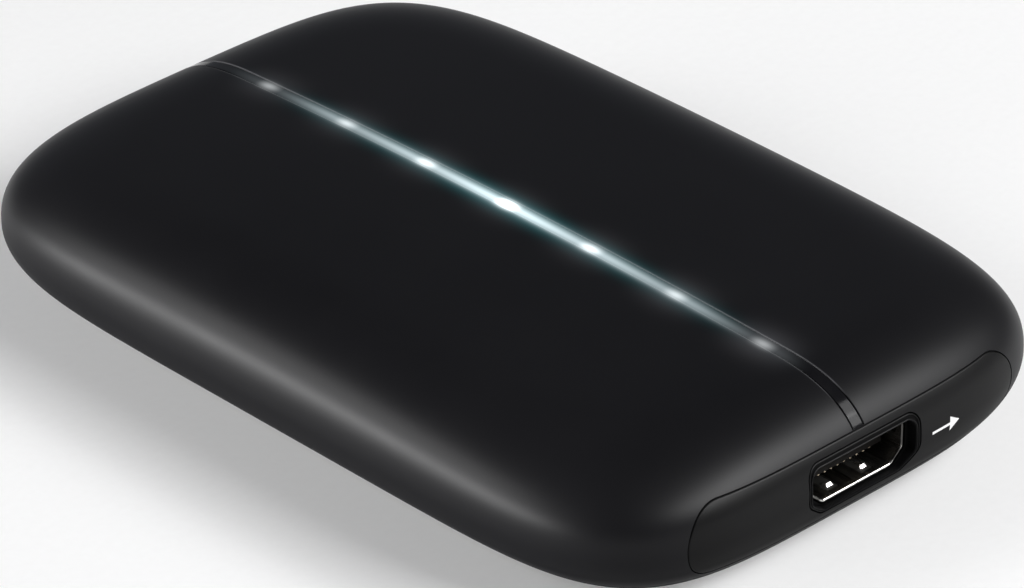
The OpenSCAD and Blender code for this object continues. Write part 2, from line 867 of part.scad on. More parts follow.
module memory_chips() {
    color([0.12, 0.12, 0.13])
        for (y = [-1, 1])
            on_board(side_x, chip_y + y * (memory_l + chip_gap) / 2, memory_w, memory_l, small_chip_t);
}

module flash_chip() {
    color([0.12, 0.12, 0.13])
        on_board(-side_x, flash_y, flash_l, flash_w, small_chip_t);
}

module inductors() {
    coil_step = coil_side + chip_gap;
    color([0.22, 0.22, 0.23]) {
        for (y = [0, 1])
            on_board(-side_x, chip_y + y * coil_step, coil_side, coil_side, coil_h);
        on_board(side_x, coil_y, coil_side, coil_side, coil_h);
    }
}

module capacitors() {
    row_x = output_chip_side / 2 + 2 * chip_gap;
    color([0.7, 0.6, 0.45])
        for (x = [-1, 1], i = [0:5])
            on_board(x * row_x, output_chip_y + (i - 2.5) * cap_step, cap_l, cap_w, cap_w);
}

module crystals() {
    can_x = input_chip_side / 2 + chip_gap + crystal_l / 2;
    color([0.8, 0.8, 0.8])
        for (x = [-1, 1])
            on_board(x * can_x, input_chip_y, crystal_l, crystal_w, crystal_t);
}

// Legs of a port's sleeve, down through the board, grown by g
module port_legs(g, low) {
    for (x = [-1, 1], y = leg_places)
        translate([x * (port_w + port_metal) / 2 - port_metal / 2 - g, y - leg_l / 2 - g, low])
            cube([port_metal + 2 * g, leg_l + 2 * g, -merge - low]);
}

// Windows in the sleeve round a pair of springs
module spring_windows(z) {
    for (x = [-1, 1])
        translate([x * spring_gap / 2 - spring_w / 2 - slack, spring_set - slack, z - merge])
            cube([spring_w + 2 * slack, spring_l + slack + root_gap, port_metal + 2 * merge]);
}

// Sleeve of a video port, with its rim at y = 0
module port_shell() {
    fold = 0.15;
    color([0.8, 0.8, 0.82])
        difference() {
            union() {
                difference() {
                    port_prism(port_metal, 0, port_depth);
                    port_prism(0, -past, port_depth + past);
                }
                port_legs(0, port_seat - board_t - leg_under);
            }
            translate([-port_floor_w / 2 - port_metal, block_front + merge, port_seat - past])
                cube([port_floor_w + 2 * port_metal, port_depth, port_metal + past + 0.01]);
            translate([-fold / 2, -past, port_seat - past])
                cube([fold, port_depth + 2 * past, port_metal + 2 * past]);
            spring_windows(port_seat);
            spring_windows(port_h / 2);
        }
}

// One contact: a blade on the tongue, then down behind the block to the board
module port_contact(x, z, drop, seat, width, tip) {
    foot = 0.8;
    translate([x - width / 2, tip, z])
        cube([width, drop + contact_t - tip, contact_t]);
    translate([x - width / 2, drop, seat])
        cube([width, contact_t, z + contact_t - seat]);
    translate([x - width / 2, drop, seat])
        cube([width, foot, contact_t]);
}

// Two rows of contacts of a video port, the lower row half a pitch to the side
module port_contacts() {
    upper_z = tongue_lift + tongue_t / 2;
    lower_z = tongue_lift - tongue_t / 2 - contact_t;
    upper_drop = block_back + 0.6;
    color([0.85, 0.68, 0.3]) {
        for (i = [0:9])
            port_contact((i - 4.5) * contact_pitch, upper_z, upper_drop, port_seat, contact_w, tongue_set);
        for (i = [0:8])
            port_contact((i - 4) * contact_pitch, lower_z, block_back, port_seat, contact_w, tongue_set);
    }
}

// Tongue and block that carry the contacts
module port_insulator() {
    heel_w = port_floor_w - 1;
    color([0.05, 0.05, 0.05])
        difference() {
            union() {
                translate([-tongue_w / 2, tongue_set, tongue_lift - tongue_t / 2])
                    cube([tongue_w, block_front - tongue_set + merge, tongue_t]);
                port_prism(-fit, block_front, block_back);
                translate([-heel_w / 2, block_front + 2 * merge, port_seat])
                    cube([heel_w, block_back - block_front - 2 * merge, port_h / 2]);
            }
            port_contacts();
        }
}

// Pair of springs in a port's floor, each with a bump near its tip
module port_springs() {
    bump_w = spring_w * 0.7;
    color([0.85, 0.85, 0.86])
        for (x = [-1, 1])
            translate([x * spring_gap / 2, spring_set, -port_h / 2]) {
                translate([-spring_w / 2, 0, -port_metal])
                    cube([spring_w, spring_l, port_metal]);
                translate([-bump_w / 2, 0, 0])
                    rotate([90, 0, 90])
                        linear_extrude(bump_w)
                            polygon([[0.05, -merge / 2], [0.35, bump_h], [0.95, bump_h], [1.35, -merge / 2]]);
            }
}

// Places a video port's pieces at one end of the case
module at_port(end) {
    at_end(end)
        translate([0, port_recess, port_z])
            children();
}

module output_port_shell() { at_port(front) port_shell(); }
module output_port_insulator() { at_port(front) port_insulator(); }
module output_port_contacts() { at_port(front) port_contacts(); }
module output_port_lower_springs() { at_port(front) port_springs(); }
module output_port_upper_springs() { at_port(front) mirror([0, 0, 1]) port_springs(); }
module input_port_shell() { at_port(rear) port_shell(); }
module input_port_insulator() { at_port(rear) port_insulator(); }
module input_port_contacts() { at_port(rear) port_contacts(); }
module input_port_lower_springs() { at_port(rear) port_springs(); }
module input_port_upper_springs() { at_port(rear) mirror([0, 0, 1]) port_springs(); }

// Places the USB-C socket's pieces
module at_usb() {
    at_end(rear)
        translate([usb_x, usb_recess, usb_z])
            children();
}

module usb_legs(g, low) {
    leg_y = usb_depth - 2;
    for (x = [-1, 1])
        translate([x * (usb_w - usb_metal) / 2 - usb_metal / 2 - g, leg_y - leg_l / 2 - g, low])
            cube([usb_metal + 2 * g, leg_l + 2 * g, -low]);
}

module usb_prism(g, from, to) {
    inwards(rounded(box_points(usb_w + 2 * g, usb_h + 2 * g), usb_h / 2 + g - 0.01), from, to);
}

module usb_shell() {
    color([0.78, 0.78, 0.8])
        at_usb()
            difference() {
                union() {
                    usb_prism(0, 0, usb_depth);
                    usb_legs(0, -usb_h / 2 - board_t - leg_under);
                }
                usb_prism(-usb_metal, -past, usb_depth + past);
                translate([-usb_w / 2 + usb_h / 2, usb_block + 1, -usb_h / 2 - past])
                    cube([usb_w - usb_h, usb_depth, usb_metal + past + 0.01]);
            }
}

module usb_contact_rows() {
    rows = 12;
    drop = usb_depth - 0.8;
    for (i = [0:rows - 1]) {
        x = (i - (rows - 1) / 2) * usb_pitch;
        port_contact(x, usb_tongue_t / 2, drop + 0.4, -usb_h / 2, usb_contact_w, usb_tongue_set);
        translate([x - usb_contact_w / 2, usb_tongue_set, -usb_tongue_t / 2 - contact_t])
            cube([usb_contact_w, usb_block - usb_tongue_set + 1, contact_t]);
    }
}

module usb_contacts() {
    color([0.85, 0.68, 0.3])
        at_usb()
            usb_contact_rows();
}

module usb_tongue() {
    heel_w = usb_w - usb_h - 0.4;
    color([0.05, 0.05, 0.05])
        at_usb()
            difference() {
                union() {
                    translate([-usb_tongue_w / 2, usb_tongue_set, -usb_tongue_t / 2])
                        cube([usb_tongue_w, usb_block - usb_tongue_set + merge, usb_tongue_t]);
                    usb_prism(-usb_metal - fit, usb_block, usb_depth - 0.4);
                    translate([-heel_w / 2, usb_block + 1.2, -usb_h / 2])
                        cube([heel_w, usb_depth - 0.4 - usb_block - 1.2, usb_h / 2]);
                }
                usb_contact_rows();
            }
}

// Places the audio jack's pieces
module at_jack() {
    at_end(rear)
        translate([-jack_x, 0, jack_z])
            children();
}

// Round bar along the depth
module depth_rod(d, from, to) {
    translate([0, from, 0])
        rotate([-90, 0, 0])
            cylinder(d = d, h = to - from);
}

module audio_jack_body() {
    slot_h = jack_spring_w + 2 * slack;
    slot_back = jack_spring_front + jack_spring_l + root_gap;
    color([0.07, 0.07, 0.07])
        at_jack()
            difference() {
                translate([-jack_w / 2, jack_front, -jack_h / 2])
                    cube([jack_w, jack_l, jack_h]);
                depth_rod(jack_bore + 2 * jack_room, jack_front - past, jack_front + jack_l - 1);
                depth_rod(ferrule_d + fit, jack_front - past, ferrule_recess + ferrule_l);
                for (x = [-1, 1])
                    translate([x * jack_w / 2 - jack_w / 2, jack_spring_front - slack, -slot_h / 2])
                        cube([jack_w, slot_back - jack_spring_front + slack, slot_h]);
            }
}

module audio_jack_ferrule() {
    color([0.75, 0.75, 0.77])
        at_jack()
            difference() {
                depth_rod(ferrule_d, ferrule_recess, ferrule_recess + ferrule_l);
                depth_rod(jack_bore, ferrule_recess - past, ferrule_recess + ferrule_l + past);
            }
}

// Leaf spring beside the jack's bore, with a bump that presses on a plug
module jack_spring() {
    bump = 0.9;
    near = jack_spring_x;
    far = jack_spring_x + jack_spring_t;
    tip = jack_spring_front;
    root = jack_spring_front + jack_spring_l;
    translate([0, 0, -jack_spring_w / 2])
        linear_extrude(jack_spring_w)
            polygon([
                [near, tip],
                [near - bump, tip + 0.7],
                [near - bump, tip + 1.1],
                [near, tip + 2],
                [near, root],
                [far, root],
                [far, tip]
            ]);
}

module audio_tip_spring() {
    color([0.8, 0.75, 0.6])
        at_jack()
            jack_spring();
}

module audio_sleeve_spring() {
    color([0.8, 0.75, 0.6])
        at_jack()
            mirror([1, 0, 0])
                jack_spring();
}

module case_screws() {
    color([0.2, 0.2, 0.21])
        for (p = screw_places)
            translate([p.x, p.y, head_z + head_room])
                difference() {
                    union() {
                        cylinder(d = head_d, h = head_h);
                        cylinder(d = screw_d, h = head_h + screw_l);
                    }
                    translate([-head_d / 4, -head_d / 12, -past])
                        cube([head_d / 2, head_d / 6, past + head_h / 2]);
                    translate([-head_d / 12, -head_d / 4, -past])
                        cube([head_d / 6, head_d / 2, past + head_h / 2]);
                }
}

module feet() {
    color([0.05, 0.05, 0.05])
        for (p = screw_places)
            translate([p.x, p.y, 0])
                cylinder(d = foot_d, h = foot_h + foot_sink);
}

top_cover();
base_cover();
front_bezel();
rear_bezel();
light_bar();
leds();
led_board();
link_header();
link_pins();
main_board();
capture_chip();
thermal_pad();
heat_sink();
video_input_chip();
video_output_chip();
usb_chip();
memory_chips();
flash_chip();
inductors();
capacitors();
crystals();
output_port_shell();
output_port_insulator();
output_port_contacts();
output_port_lower_springs();
output_port_upper_springs();
input_port_shell();
input_port_insulator();
input_port_contacts();
input_port_lower_springs();
input_port_upper_springs();
usb_shell();
usb_tongue();
usb_contacts();
audio_jack_body();
audio_jack_ferrule();
audio_tip_spring();
audio_sleeve_spring();
case_screws();
feet();
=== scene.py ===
"""Looks of the video capture box: smooth covers, inserts and a lit bar round the frame, then the stage."""

import math

import bpy
import numpy as np
from mathutils import Matrix, Vector
from mathutils.bvhtree import BVHTree
from mathutils.geometry import delaunay_2d_cdt
from mathutils.interpolate import poly_3d_calc


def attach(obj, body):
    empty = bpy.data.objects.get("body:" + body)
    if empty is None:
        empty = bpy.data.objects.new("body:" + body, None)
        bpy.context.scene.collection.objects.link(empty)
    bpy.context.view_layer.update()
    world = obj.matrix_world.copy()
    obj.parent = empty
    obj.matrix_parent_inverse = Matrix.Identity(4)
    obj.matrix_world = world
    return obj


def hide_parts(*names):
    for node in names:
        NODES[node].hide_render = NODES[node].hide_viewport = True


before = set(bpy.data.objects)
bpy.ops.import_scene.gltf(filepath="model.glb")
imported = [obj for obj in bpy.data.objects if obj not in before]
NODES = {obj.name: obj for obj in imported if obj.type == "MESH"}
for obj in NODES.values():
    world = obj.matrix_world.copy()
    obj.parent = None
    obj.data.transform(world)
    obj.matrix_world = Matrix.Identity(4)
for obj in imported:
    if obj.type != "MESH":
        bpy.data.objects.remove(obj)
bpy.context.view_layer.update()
BODY = "box"

# Sizes of the case, the bar, the inserts, the sockets and the feet, in millimetres
MM = 0.001
END_Y = 56.0
HALF_W, HALF_L, BODY_H, WAIST = 37.25, 55.98, 18.2, 8.1
RISE = BODY_H - WAIST
UNDER = 0.8
PART_H, WALL = 2.6, 1.8
PLAN_W_EXP, PLAN_L_EXP, TOP_EDGE_EXP = 4.3, 6.4, 2.5
TOP_EDGE_W, TOP_EDGE_L = 14.0, 13.0
LOW_EDGE_W, LOW_EDGE_L = 12.0, 8.2
CROWN_W, CROWN_L = 0.9, 1.5
BAR_W, BAR_T, BAR_GAP = 1.6, 0.9, 0.05
BEZEL_L, BEZEL_H, BEZEL_T, BEZEL_MIDDLE = 50.8, 9.2, 2.0, 8.2
BEZEL_Z = UNDER + BEZEL_MIDDLE
PORT_W, PORT_FLOOR_W, PORT_H, PORT_SIDE_H, PORT_METAL = 14.0, 10.5, 4.55, 3.05, 0.35
PORT_Z, PORT_RECESS, PORT_CORNER, SLACK = BEZEL_Z, 1.5, 0.5, 0.2
SPRING_GAP, SPRING_W, SPRING_L, SPRING_SET = 5.3, 1.6, 3.9, 0.9
BOARD_TOP = PORT_Z - PORT_H / 2 - PORT_METAL
USB_X, USB_W, USB_H = 15.0, 8.94, 3.26
USB_Z = BOARD_TOP + USB_H / 2
JACK_X, JACK_H, FERRULE_D = 15.0, 5.4, 5.0
JACK_Z = BOARD_TOP + JACK_H / 2
FOOT_D, FOOT_SINK, FOOT_X, FOOT_Y = 9.0, 0.6, 18.0, 35.5
FOOT_PLACES = [(x, y) for x in (-FOOT_X, FOOT_X) for y in (-FOOT_Y, FOOT_Y)]

# Sizes of the finish, in millimetres: seams, the pocket's frame, beads, rims, bumps and the printed mark
SEAM, BAR_SUNK, BAR_END_GAP = 0.04, 0.02, 0.02
POCKET_W, POCKET_H, POCKET_LIFT, POCKET_FLOOR_W, POCKET_SIDE_H = 17.6, 7.0, 0.2, 12.4, 5.0
LIP_W, LIP_FLOOR_W, LIP_TOP, LIP_BOTTOM, LIP_SIDE_H = 16.26, 11.3, 11.82, 6.12, 4.05
POCKET_CORNER, LIP_CORNER = 1.8, 1.3
LEDGE_DEPTH, LIP_ROUND, FRAME_GAP, FRAME_GAP_DEPTH = 0.15, 0.05, 0.14, 0.5
BEAD_W, BEAD_H = 0.18, 0.13
SLEEVE_GAP, SLEEVE_WALL = 0.15, 0.6
RIM_HALF, RIM_OUT = 0.19, 0.18
BUMP_W, BUMP_H, BUMP_FROM, BUMP_TO = 1.05, 0.35, 0.28, 1.50
BUMP_RISE, BUMP_FALL, BUMP_EXP = 0.32, 0.38, 5
MARK_LEFT, MARK_RIGHT, MARK_HEAD, MARK_HALF, MARK_STROKE = 10.6, 15.0, 1.5, 0.9, 0.17
MARK_DROP, MARK_PROUD = 0.2, 0.012

# Rounding of the moulded edges, the walls behind them, and how far the cutters reach, in millimetres
WINDOW_ROUND, BEZEL_ROUND, POCKET_ROUND, SPRING_ROUND = 0.05, 0.16, 0.06, 0.08
GROOVE_ROUND, BAR_ROUND, PARTING_ROUND, SOCKET_ROUND = 0.15, 0.12, 0.15, 0.2
SHORT_OF_HALF = 0.01
WINDOW_WALL, BEZEL_WALL, GROOVE_ROOM = 2.5, 2.2, 0.1
GROOVE_DEPTH = BAR_T + GROOVE_ROOM
CUT_PAST, CUT_OVER, WINDOW_CUT = 4.0, 1.0, 8.0

# Fineness of the meshes: spacing in millimetres, then counts
OUTLINE_STEP, PORT_STEP, SHEET_STEP, LEDGE_STEP, MARK_STEP = 0.3, 0.2, 0.8, 0.4, 0.3
CORNER_STEPS, FOOT_STEPS, EDGE_ROWS, BEAD_ROWS, RIM_ROWS = 6, 96, 6, 9, 13
REACH_ROUNDS = 6


# The skin of the case

def signed_pow(v, e):
    return np.sign(v) * np.abs(v) ** e


def crown(x, y):
    return CROWN_W * (x / HALF_W) ** 2 + CROWN_L * (y / HALF_L) ** 2


def skin(theta, level, g=0.0):
    """Points of the skin set in by g.

    level runs from -1, the underside, over 0, the waist, and 1, the top's rim, to 2, its middle.
    """
    theta, level = np.broadcast_arrays(np.asarray(theta, float), np.asarray(level, float))
    up = np.clip(level, 0, 1) * math.pi / 2
    down = np.clip(-level, 0, 1) * math.pi / 2
    inset = 1 - np.cos(up) ** (2 / TOP_EDGE_EXP)
    climb = np.sin(up) ** (2 / TOP_EDGE_EXP)
    low_inset = 1 - np.cos(down)
    half_w = HALF_W - g - (TOP_EDGE_W - g) * inset - (LOW_EDGE_W - g) * low_inset
    half_l = HALF_L - g - (TOP_EDGE_L - g) * inset - (LOW_EDGE_L - g) * low_inset
    scale = np.where(level > 1, 2 - level, 1.0)
    x = scale * half_w * signed_pow(np.cos(theta), 2 / PLAN_W_EXP)
    y = scale * half_l * signed_pow(np.sin(theta), 2 / PLAN_L_EXP)
    z = UNDER + WAIST + (RISE - g) * climb - (WAIST - g) * np.sin(down) - climb * crown(x, y)
    return np.stack([x, y, z], -1)


def low_level(h, g=0.0):
    """Level of the lower edge, set in by g, at a height over the underside."""
    return -math.asin((WAIST - h) / (WAIST - g)) * 2 / math.pi


def plan_columns(count):
    """Angles that divide the widest outline into equal lengths, the middles of its sides among them."""
    samples, pull = 40001, 3.2
    s = np.linspace(0, 1, samples)
    quarter = math.pi / 2 * s ** pull / (s ** pull + (1 - s) ** pull)
    line = skin(quarter, 0.0)
    length = np.concatenate([[0], np.cumsum(np.linalg.norm(np.diff(line, axis=0), axis=1))])
    n = count // 4
    first = np.interp(np.linspace(0, length[-1], n + 1), length, quarter)
    turned = [first, math.pi - first[::-1], math.pi + first, 2 * math.pi - first[::-1]]
    return np.concatenate([part[:-1] for part in turned])


def plain_reach(x, h):
    climb = np.clip((h - WAIST) / RISE, 0, 1)
    inset = 1 - (1 - climb ** TOP_EDGE_EXP) ** (1 / TOP_EDGE_EXP)
    low_inset = 1 - np.sqrt(1 - np.clip((WAIST - h) / WAIST, 0, 1) ** 2)
    half_w = HALF_W - TOP_EDGE_W * inset - LOW_EDGE_W * low_inset
    half_l = HALF_L - TOP_EDGE_L * inset - LOW_EDGE_L * low_inset
    return half_l * (1 - (np.abs(x) / half_w) ** PLAN_W_EXP) ** (1 / PLAN_L_EXP)


def end_reach(x, z):
    """Half length of the skin at x and z near an end of the case."""
    h = np.asarray(z, float) - UNDER
    raised = h
    for _ in range(REACH_ROUNDS):
        raised = h + np.clip((raised - WAIST) / RISE, 0, 1) * crown(x, plain_reach(x, raised))
    return plain_reach(x, raised)


def front_points(xz, depth=0.0):
    """Places on the front end's skin, or behind it by a depth."""
    return in_plane(xz, depth - end_reach(xz[:, 0], xz[:, 1]))


def front_normals(xz):
    step = 0.02
    x, z = xz[:, 0], xz[:, 1]
    slope_x = (end_reach(x + step, z) - end_reach(x - step, z)) / (2 * step)
    slope_z = (end_reach(x, z + step) - end_reach(x, z - step)) / (2 * step)
    return unit(np.stack([-slope_x, -np.ones_like(x), -slope_z], -1))


# Outlines in the plane of an end: x across, z up

def unit(v):
    return v / np.linalg.norm(v, axis=-1, keepdims=True)


def in_plane(xz, y=0.0):
    """Places or ways of an end's x and z, at a y."""
    return np.stack([xz[:, 0], np.full(len(xz), y), xz[:, 1]], -1)


def box_corners(width, height):
    x, z = width / 2, height / 2
    return [(-x, z), (x, z), (x, -z), (-x, -z)]


def slanted_corners(width, floor_width, height, side_height):
    """Outline that is wide above, with slanted lower corners."""
    low = height / 2 - side_height
    return [
        (-width / 2, height / 2), (width / 2, height / 2), (width / 2, low),
        (floor_width / 2, -height / 2), (-floor_width / 2, -height / 2), (-width / 2, low),
    ]


def outline(corners, radius, centre=(0.0, 0.0), spacing=OUTLINE_STEP):
    """Closed convex outline with rounded corners, clockwise: its points and outward normals."""
    corners = np.asarray(corners, float)
    points, normals = [], []
    for i, here in enumerate(corners):
        before, after = corners[i - 1], corners[(i + 1) % len(corners)]
        u, v = unit(before - here), unit(after - here)
        half = math.acos(np.clip(u @ v, -1, 1)) / 2
        middle = here + unit(u + v) * radius / math.sin(half)
        start = unit(here + u * radius / math.tan(half) - middle)
        sweep = math.pi - 2 * half
        steps = max(CORNER_STEPS, int(radius * sweep / spacing))
        turn = -sweep * np.arange(steps + 1) / steps
        first = math.atan2(start[1], start[0])
        arc = np.stack([np.cos(first + turn), np.sin(first + turn)], -1)
        points.append(middle + radius * arc)
        normals.append(arc)
    loops, ways = [], []
    for i in range(len(points)):
        loops.append(points[i])
        ways.append(normals[i])
        a, b = points[i][-1], points[(i + 1) % len(points)][0]
        count = int(np.linalg.norm(b - a) / spacing)
        if count > 1:
            share = (np.arange(1, count) / count)[:, None]
            loops.append(a + (b - a) * share)
            ways.append(np.repeat(normals[i][-1:], count - 1, 0))
    return np.concatenate(loops) + np.asarray(centre), np.concatenate(ways)


def inside(points, loop):
    """Which points lie inside a closed loop."""
    x, y = points[:, 0][:, None], points[:, 1][:, None]
    x0, y0 = loop[:, 0][None], loop[:, 1][None]
    x1, y1 = np.roll(loop[:, 0], -1)[None], np.roll(loop[:, 1], -1)[None]
    crosses = (y0 > y) != (y1 > y)
    with np.errstate(divide="ignore", invalid="ignore"):
        at = x0 + (y - y0) * (x1 - x0) / (y1 - y0)
    return (crosses & (x < at)).sum(1) % 2 == 1


def within(points, outer, holes):
    """Which points lie inside an outer loop and outside its holes."""
    keep = inside(points, outer)
    for hole in holes:
        keep &= ~inside(points, hole)
    return keep


def near(points, loop, distance):
    gaps = np.linalg.norm(points[:, None] - loop[None], axis=-1)
    return gaps.min(1) < distance


def fill_region(outer, holes, spacing):
    """Triangles of the region inside an outer loop and outside its holes, as points and faces."""
    loops = [outer] + holes
    low, high = outer.min(0), outer.max(0)
    across, up = np.arange(low[0], high[0], spacing), np.arange(low[1], high[1], spacing)
    grid = np.stack(np.meshgrid(across, up), -1).reshape(-1, 2)
    grid = grid[within(grid, outer, holes)]
    for loop in loops:
        grid = grid[~near(grid, loop, spacing / 2)]
    edges, start = [], 0
    for loop in loops:
        count = len(loop)
        edges += [(start + i, start + (i + 1) % count) for i in range(count)]
        start += count
    coords = [Vector(p) for p in np.concatenate(loops + [grid])]
    whole_hull, merge = 0, 1e-7
    points, _, faces, *_ = delaunay_2d_cdt(coords, edges, [], whole_hull, merge)
    points = np.array([tuple(p) for p in points])
    faces = np.array([tuple(f) for f in faces])
    return points, faces[within(points[faces].mean(1), outer, holes)]


# Meshes

def smooth_mesh(name, points, faces):
    """Mesh of points in millimetres, shaded smooth."""
    mesh = bpy.data.meshes.new(name)
    mesh.from_pydata((points * MM).tolist(), [], faces)
    mesh.polygons.foreach_set("use_smooth", [True] * len(mesh.polygons))
    return mesh


def add_object(name, data):
    made = bpy.data.objects.new(name, data)
    bpy.context.collection.objects.link(made)
    return made


class Patches:
    """Surface patches in millimetres, each with its own vertices and exact normals, that become one mesh."""

    def __init__(self):
        self.points, self.faces, self.normals, self.count = [], [], [], 0

    def add(self, points, faces, normals):
        points, normals = np.asarray(points, float), np.asarray(normals, float)
        for size in sorted({len(face) for face in faces}):
            group = np.array([face for face in faces if len(face) == size])
            a, b, c = points[group[:, 0]], points[group[:, 1]], points[group[:, 2]]
            way = normals[group].sum(1)
            flip = (np.cross(b - a, c - a) * way).sum(1) < 0
            group[flip] = group[flip, ::-1]
            self.faces += (group + self.count).tolist()
        self.points.append(points)
        self.normals.append(normals)
        self.count += len(points)

    def join(self, other):
        """Takes in the patches of another set."""
        self.faces += [[i + self.count for i in face] for face in other.faces]
        self.points += other.points
        self.normals += other.normals
        self.count += other.count

    def strip(self, rows, normals, closed=True):
        """Quads between rows of points."""
        rows, normals = np.asarray(rows, float), np.asarray(normals, float)
        count = rows.shape[1]
        last = count if closed else count - 1
        faces = []
        for low in range(0, (rows.shape[0] - 1) * count, count):
            for i in range(last):
                after = (i + 1) % count
                faces.append((low + i, low + after, low + count + after, low + count + i))
        self.add(rows.reshape(-1, 3), faces, normals.reshape(-1, 3))

    def moved(self, x, y, z, signs=(1.0, 1.0, 1.0)):
        """The same patches with signs on their coordinates, then shifted."""
        other = Patches()
        other.points = [p * np.array(signs) + np.array([x, y, z]) for p in self.points]
        other.normals = [n * np.array(signs) for n in self.normals]
        other.faces = [face[::-1] for face in self.faces] if np.prod(signs) < 0 else self.faces
        other.count = self.count
        return other

    def turned(self):
        """The same patches at the other end of the case."""
        return self.moved(0, 0, 0, (-1.0, -1.0, 1.0))

    def mesh(self, name):
        mesh = smooth_mesh(name, np.concatenate(self.points), self.faces)
        mesh.normals_split_custom_set_from_vertices(unit(np.concatenate(self.normals)).tolist())
        return mesh


def show(name, patches, material, slot, *replaced, body=BODY):
    """Puts a piece in the scene on a body."""
    piece = add_object(name, patches.mesh(name))
    piece.data.materials.append(material)
    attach(piece, body)
    if replaced:
        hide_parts(*replaced)


def ring_mesh(rings, top, bottom):
    """Closed mesh through rings of points, from a top pole to a bottom pole."""
    rows, count = len(rings), len(rings[0])
    points = np.concatenate([[top], np.concatenate(rings), [bottom]])

    def at(k, i):
        return 1 + k * count + i % count

    faces = [(0, at(0, i), at(0, i + 1)) for i in range(count)]
    for k in range(rows - 1):
        faces += [(at(k, i), at(k + 1, i), at(k + 1, i + 1), at(k, i + 1)) for i in range(count)]
    faces += [(1 + rows * count, at(rows - 1, i + 1), at(rows - 1, i)) for i in range(count)]
    return smooth_mesh("shell", points, faces)


def prism_mesh(points, across):
    """Closed prism of a loop of 3-D points, drawn along a vector."""
    count = len(points)
    both = np.concatenate([points, points + np.asarray(across)])
    faces = [tuple(range(count)), tuple(range(2 * count - 1, count - 1, -1))]
    faces += [(i, i + count, (i + 1) % count + count, (i + 1) % count) for i in range(count)]
    turn = np.cross(points, np.roll(points, -1, 0)).sum(0)
    if np.dot(turn, across) > 0:
        faces = [face[::-1] for face in faces]
    return smooth_mesh("cutter", both, faces)


def cut(mesh, cutters):
    """Mesh of the first one with the cutters taken out."""
    body = add_object("cut", mesh)
    helpers = []
    for cutter in cutters:
        helper = add_object("cutter", cutter)
        helpers.append(helper)
        step = body.modifiers.new("cut", "BOOLEAN")
        step.operation, step.solver, step.object = "DIFFERENCE", "EXACT", helper
    graph = bpy.context.evaluated_depsgraph_get()
    result = bpy.data.meshes.new_from_object(body.evaluated_get(graph))
    for helper in [body] + helpers:
        bpy.data.objects.remove(helper, do_unlink=True)
    return result


def keep_normals(patches, cut_mesh, whole_mesh):
    """Adds a cut mesh to patches: faces on the uncut surface keep its normals, and cut faces stay flat."""
    touching, same_way, no_area = 2e-6, 0.6, 1e-9
    whole_mesh.calc_loop_triangles()
    places = [v.co.copy() for v in whole_mesh.vertices]
    normals = [n.vector.copy() for n in whole_mesh.vertex_normals]
    triangles = [tuple(t.vertices) for t in whole_mesh.loop_triangles]
    tree = BVHTree.FromPolygons(places, triangles)
    on_skin, smooth = [], []
    for vertex in cut_mesh.vertices:
        spot, _, index, gap = tree.find_nearest(vertex.co)
        corners = triangles[index]
        weights = poly_3d_calc([places[i] for i in corners], spot)
        normal = sum((normals[i] * w for i, w in zip(corners, weights)), Vector())
        on_skin.append(gap < touching)
        smooth.append(normal.normalized())
    points = np.array([tuple(v.co) for v in cut_mesh.vertices]) / MM
    skin_faces, flat_faces = [], []
    for polygon in cut_mesh.polygons:
        corners = list(polygon.vertices)
        ways = [smooth[i].dot(polygon.normal) for i in corners]
        kept = all(on_skin[i] for i in corners) and min(ways) > same_way
        (skin_faces if kept else flat_faces).append(corners)
    used = sorted({i for face in skin_faces for i in face})
    index = {v: k for k, v in enumerate(used)}
    patches.add(points[used], [[index[i] for i in f] for f in skin_faces], [tuple(smooth[i]) for i in used])
    for face in flat_faces:
        a, b, c = points[face[0]], points[face[1]], points[face[2]]
        normal = np.cross(b - a, c - a)
        if np.linalg.norm(normal) > no_area:
            patches.add(points[face], [list(range(len(face)))], np.repeat(unit(normal)[None], len(face), 0))


def round_edge(patches, loop, ways, radius, outside, wall_y=None, wall=1.0, sunk=0.0):
    """Rounded edge and wall of an opening (outside is 1) or of an insert (outside is -1) in the front end.

    The wall runs back to wall_y, or else by a length. sunk is the rounded surface's depth under the skin.
    """
    rows, normals = [], []
    across = in_plane(ways)
    for turn in np.linspace(0, math.pi / 2, EDGE_ROWS):
        at = loop + outside * radius * (1 - math.sin(turn)) * ways
        rows.append(front_points(at, sunk + radius * (1 - math.cos(turn))))
        normals.append(unit(front_normals(at) * math.cos(turn) - outside * across * math.sin(turn)))
    foot = rows[-1].copy()
    foot[:, 1] = foot[:, 1] + wall if wall_y is None else np.maximum(foot[:, 1], wall_y)
    patches.strip(rows, normals)
    patches.strip([rows[-1], foot], [-outside * across] * 2)


# Materials, with noise in features per metre and grain depths in metres
NOISE_LOW, NOISE_HIGH = 0.3, 0.7
SLOW_SCALE = 60.0
STREAK_SCALE, STREAK_ROUGH, STREAK_BUMP, STREAK_DEPTH = 900.0, 0.6, 0.04, 1e-5
CASE_GRAIN, GRAIN_BUMP, GRAIN_DEPTH = 9000.0, 0.10, 2e-5


def material(name):
    made = bpy.data.materials.new(name)
    made.use_nodes = True
    return made, made.node_tree, made.node_tree.nodes["Principled BSDF"]


def put(node, key, value):
    """Sets an input of a node, or links a socket to it."""
    if isinstance(value, bpy.types.NodeSocket):
        node.id_data.links.new(value, node.inputs[key])
    else:
        node.inputs[key].default_value = value


def add_node(tree, kind, inputs=None, **settings):
    """A node with settings and inputs."""
    node = tree.nodes.new(kind)
    for key, value in settings.items():
        setattr(node, key, value)
    for key, value in (inputs or {}).items():
        put(node, key, value)
    return node


def set_inputs(shader, **values):
    for key, value in values.items():
        put(shader, key.replace("_", " "), value)


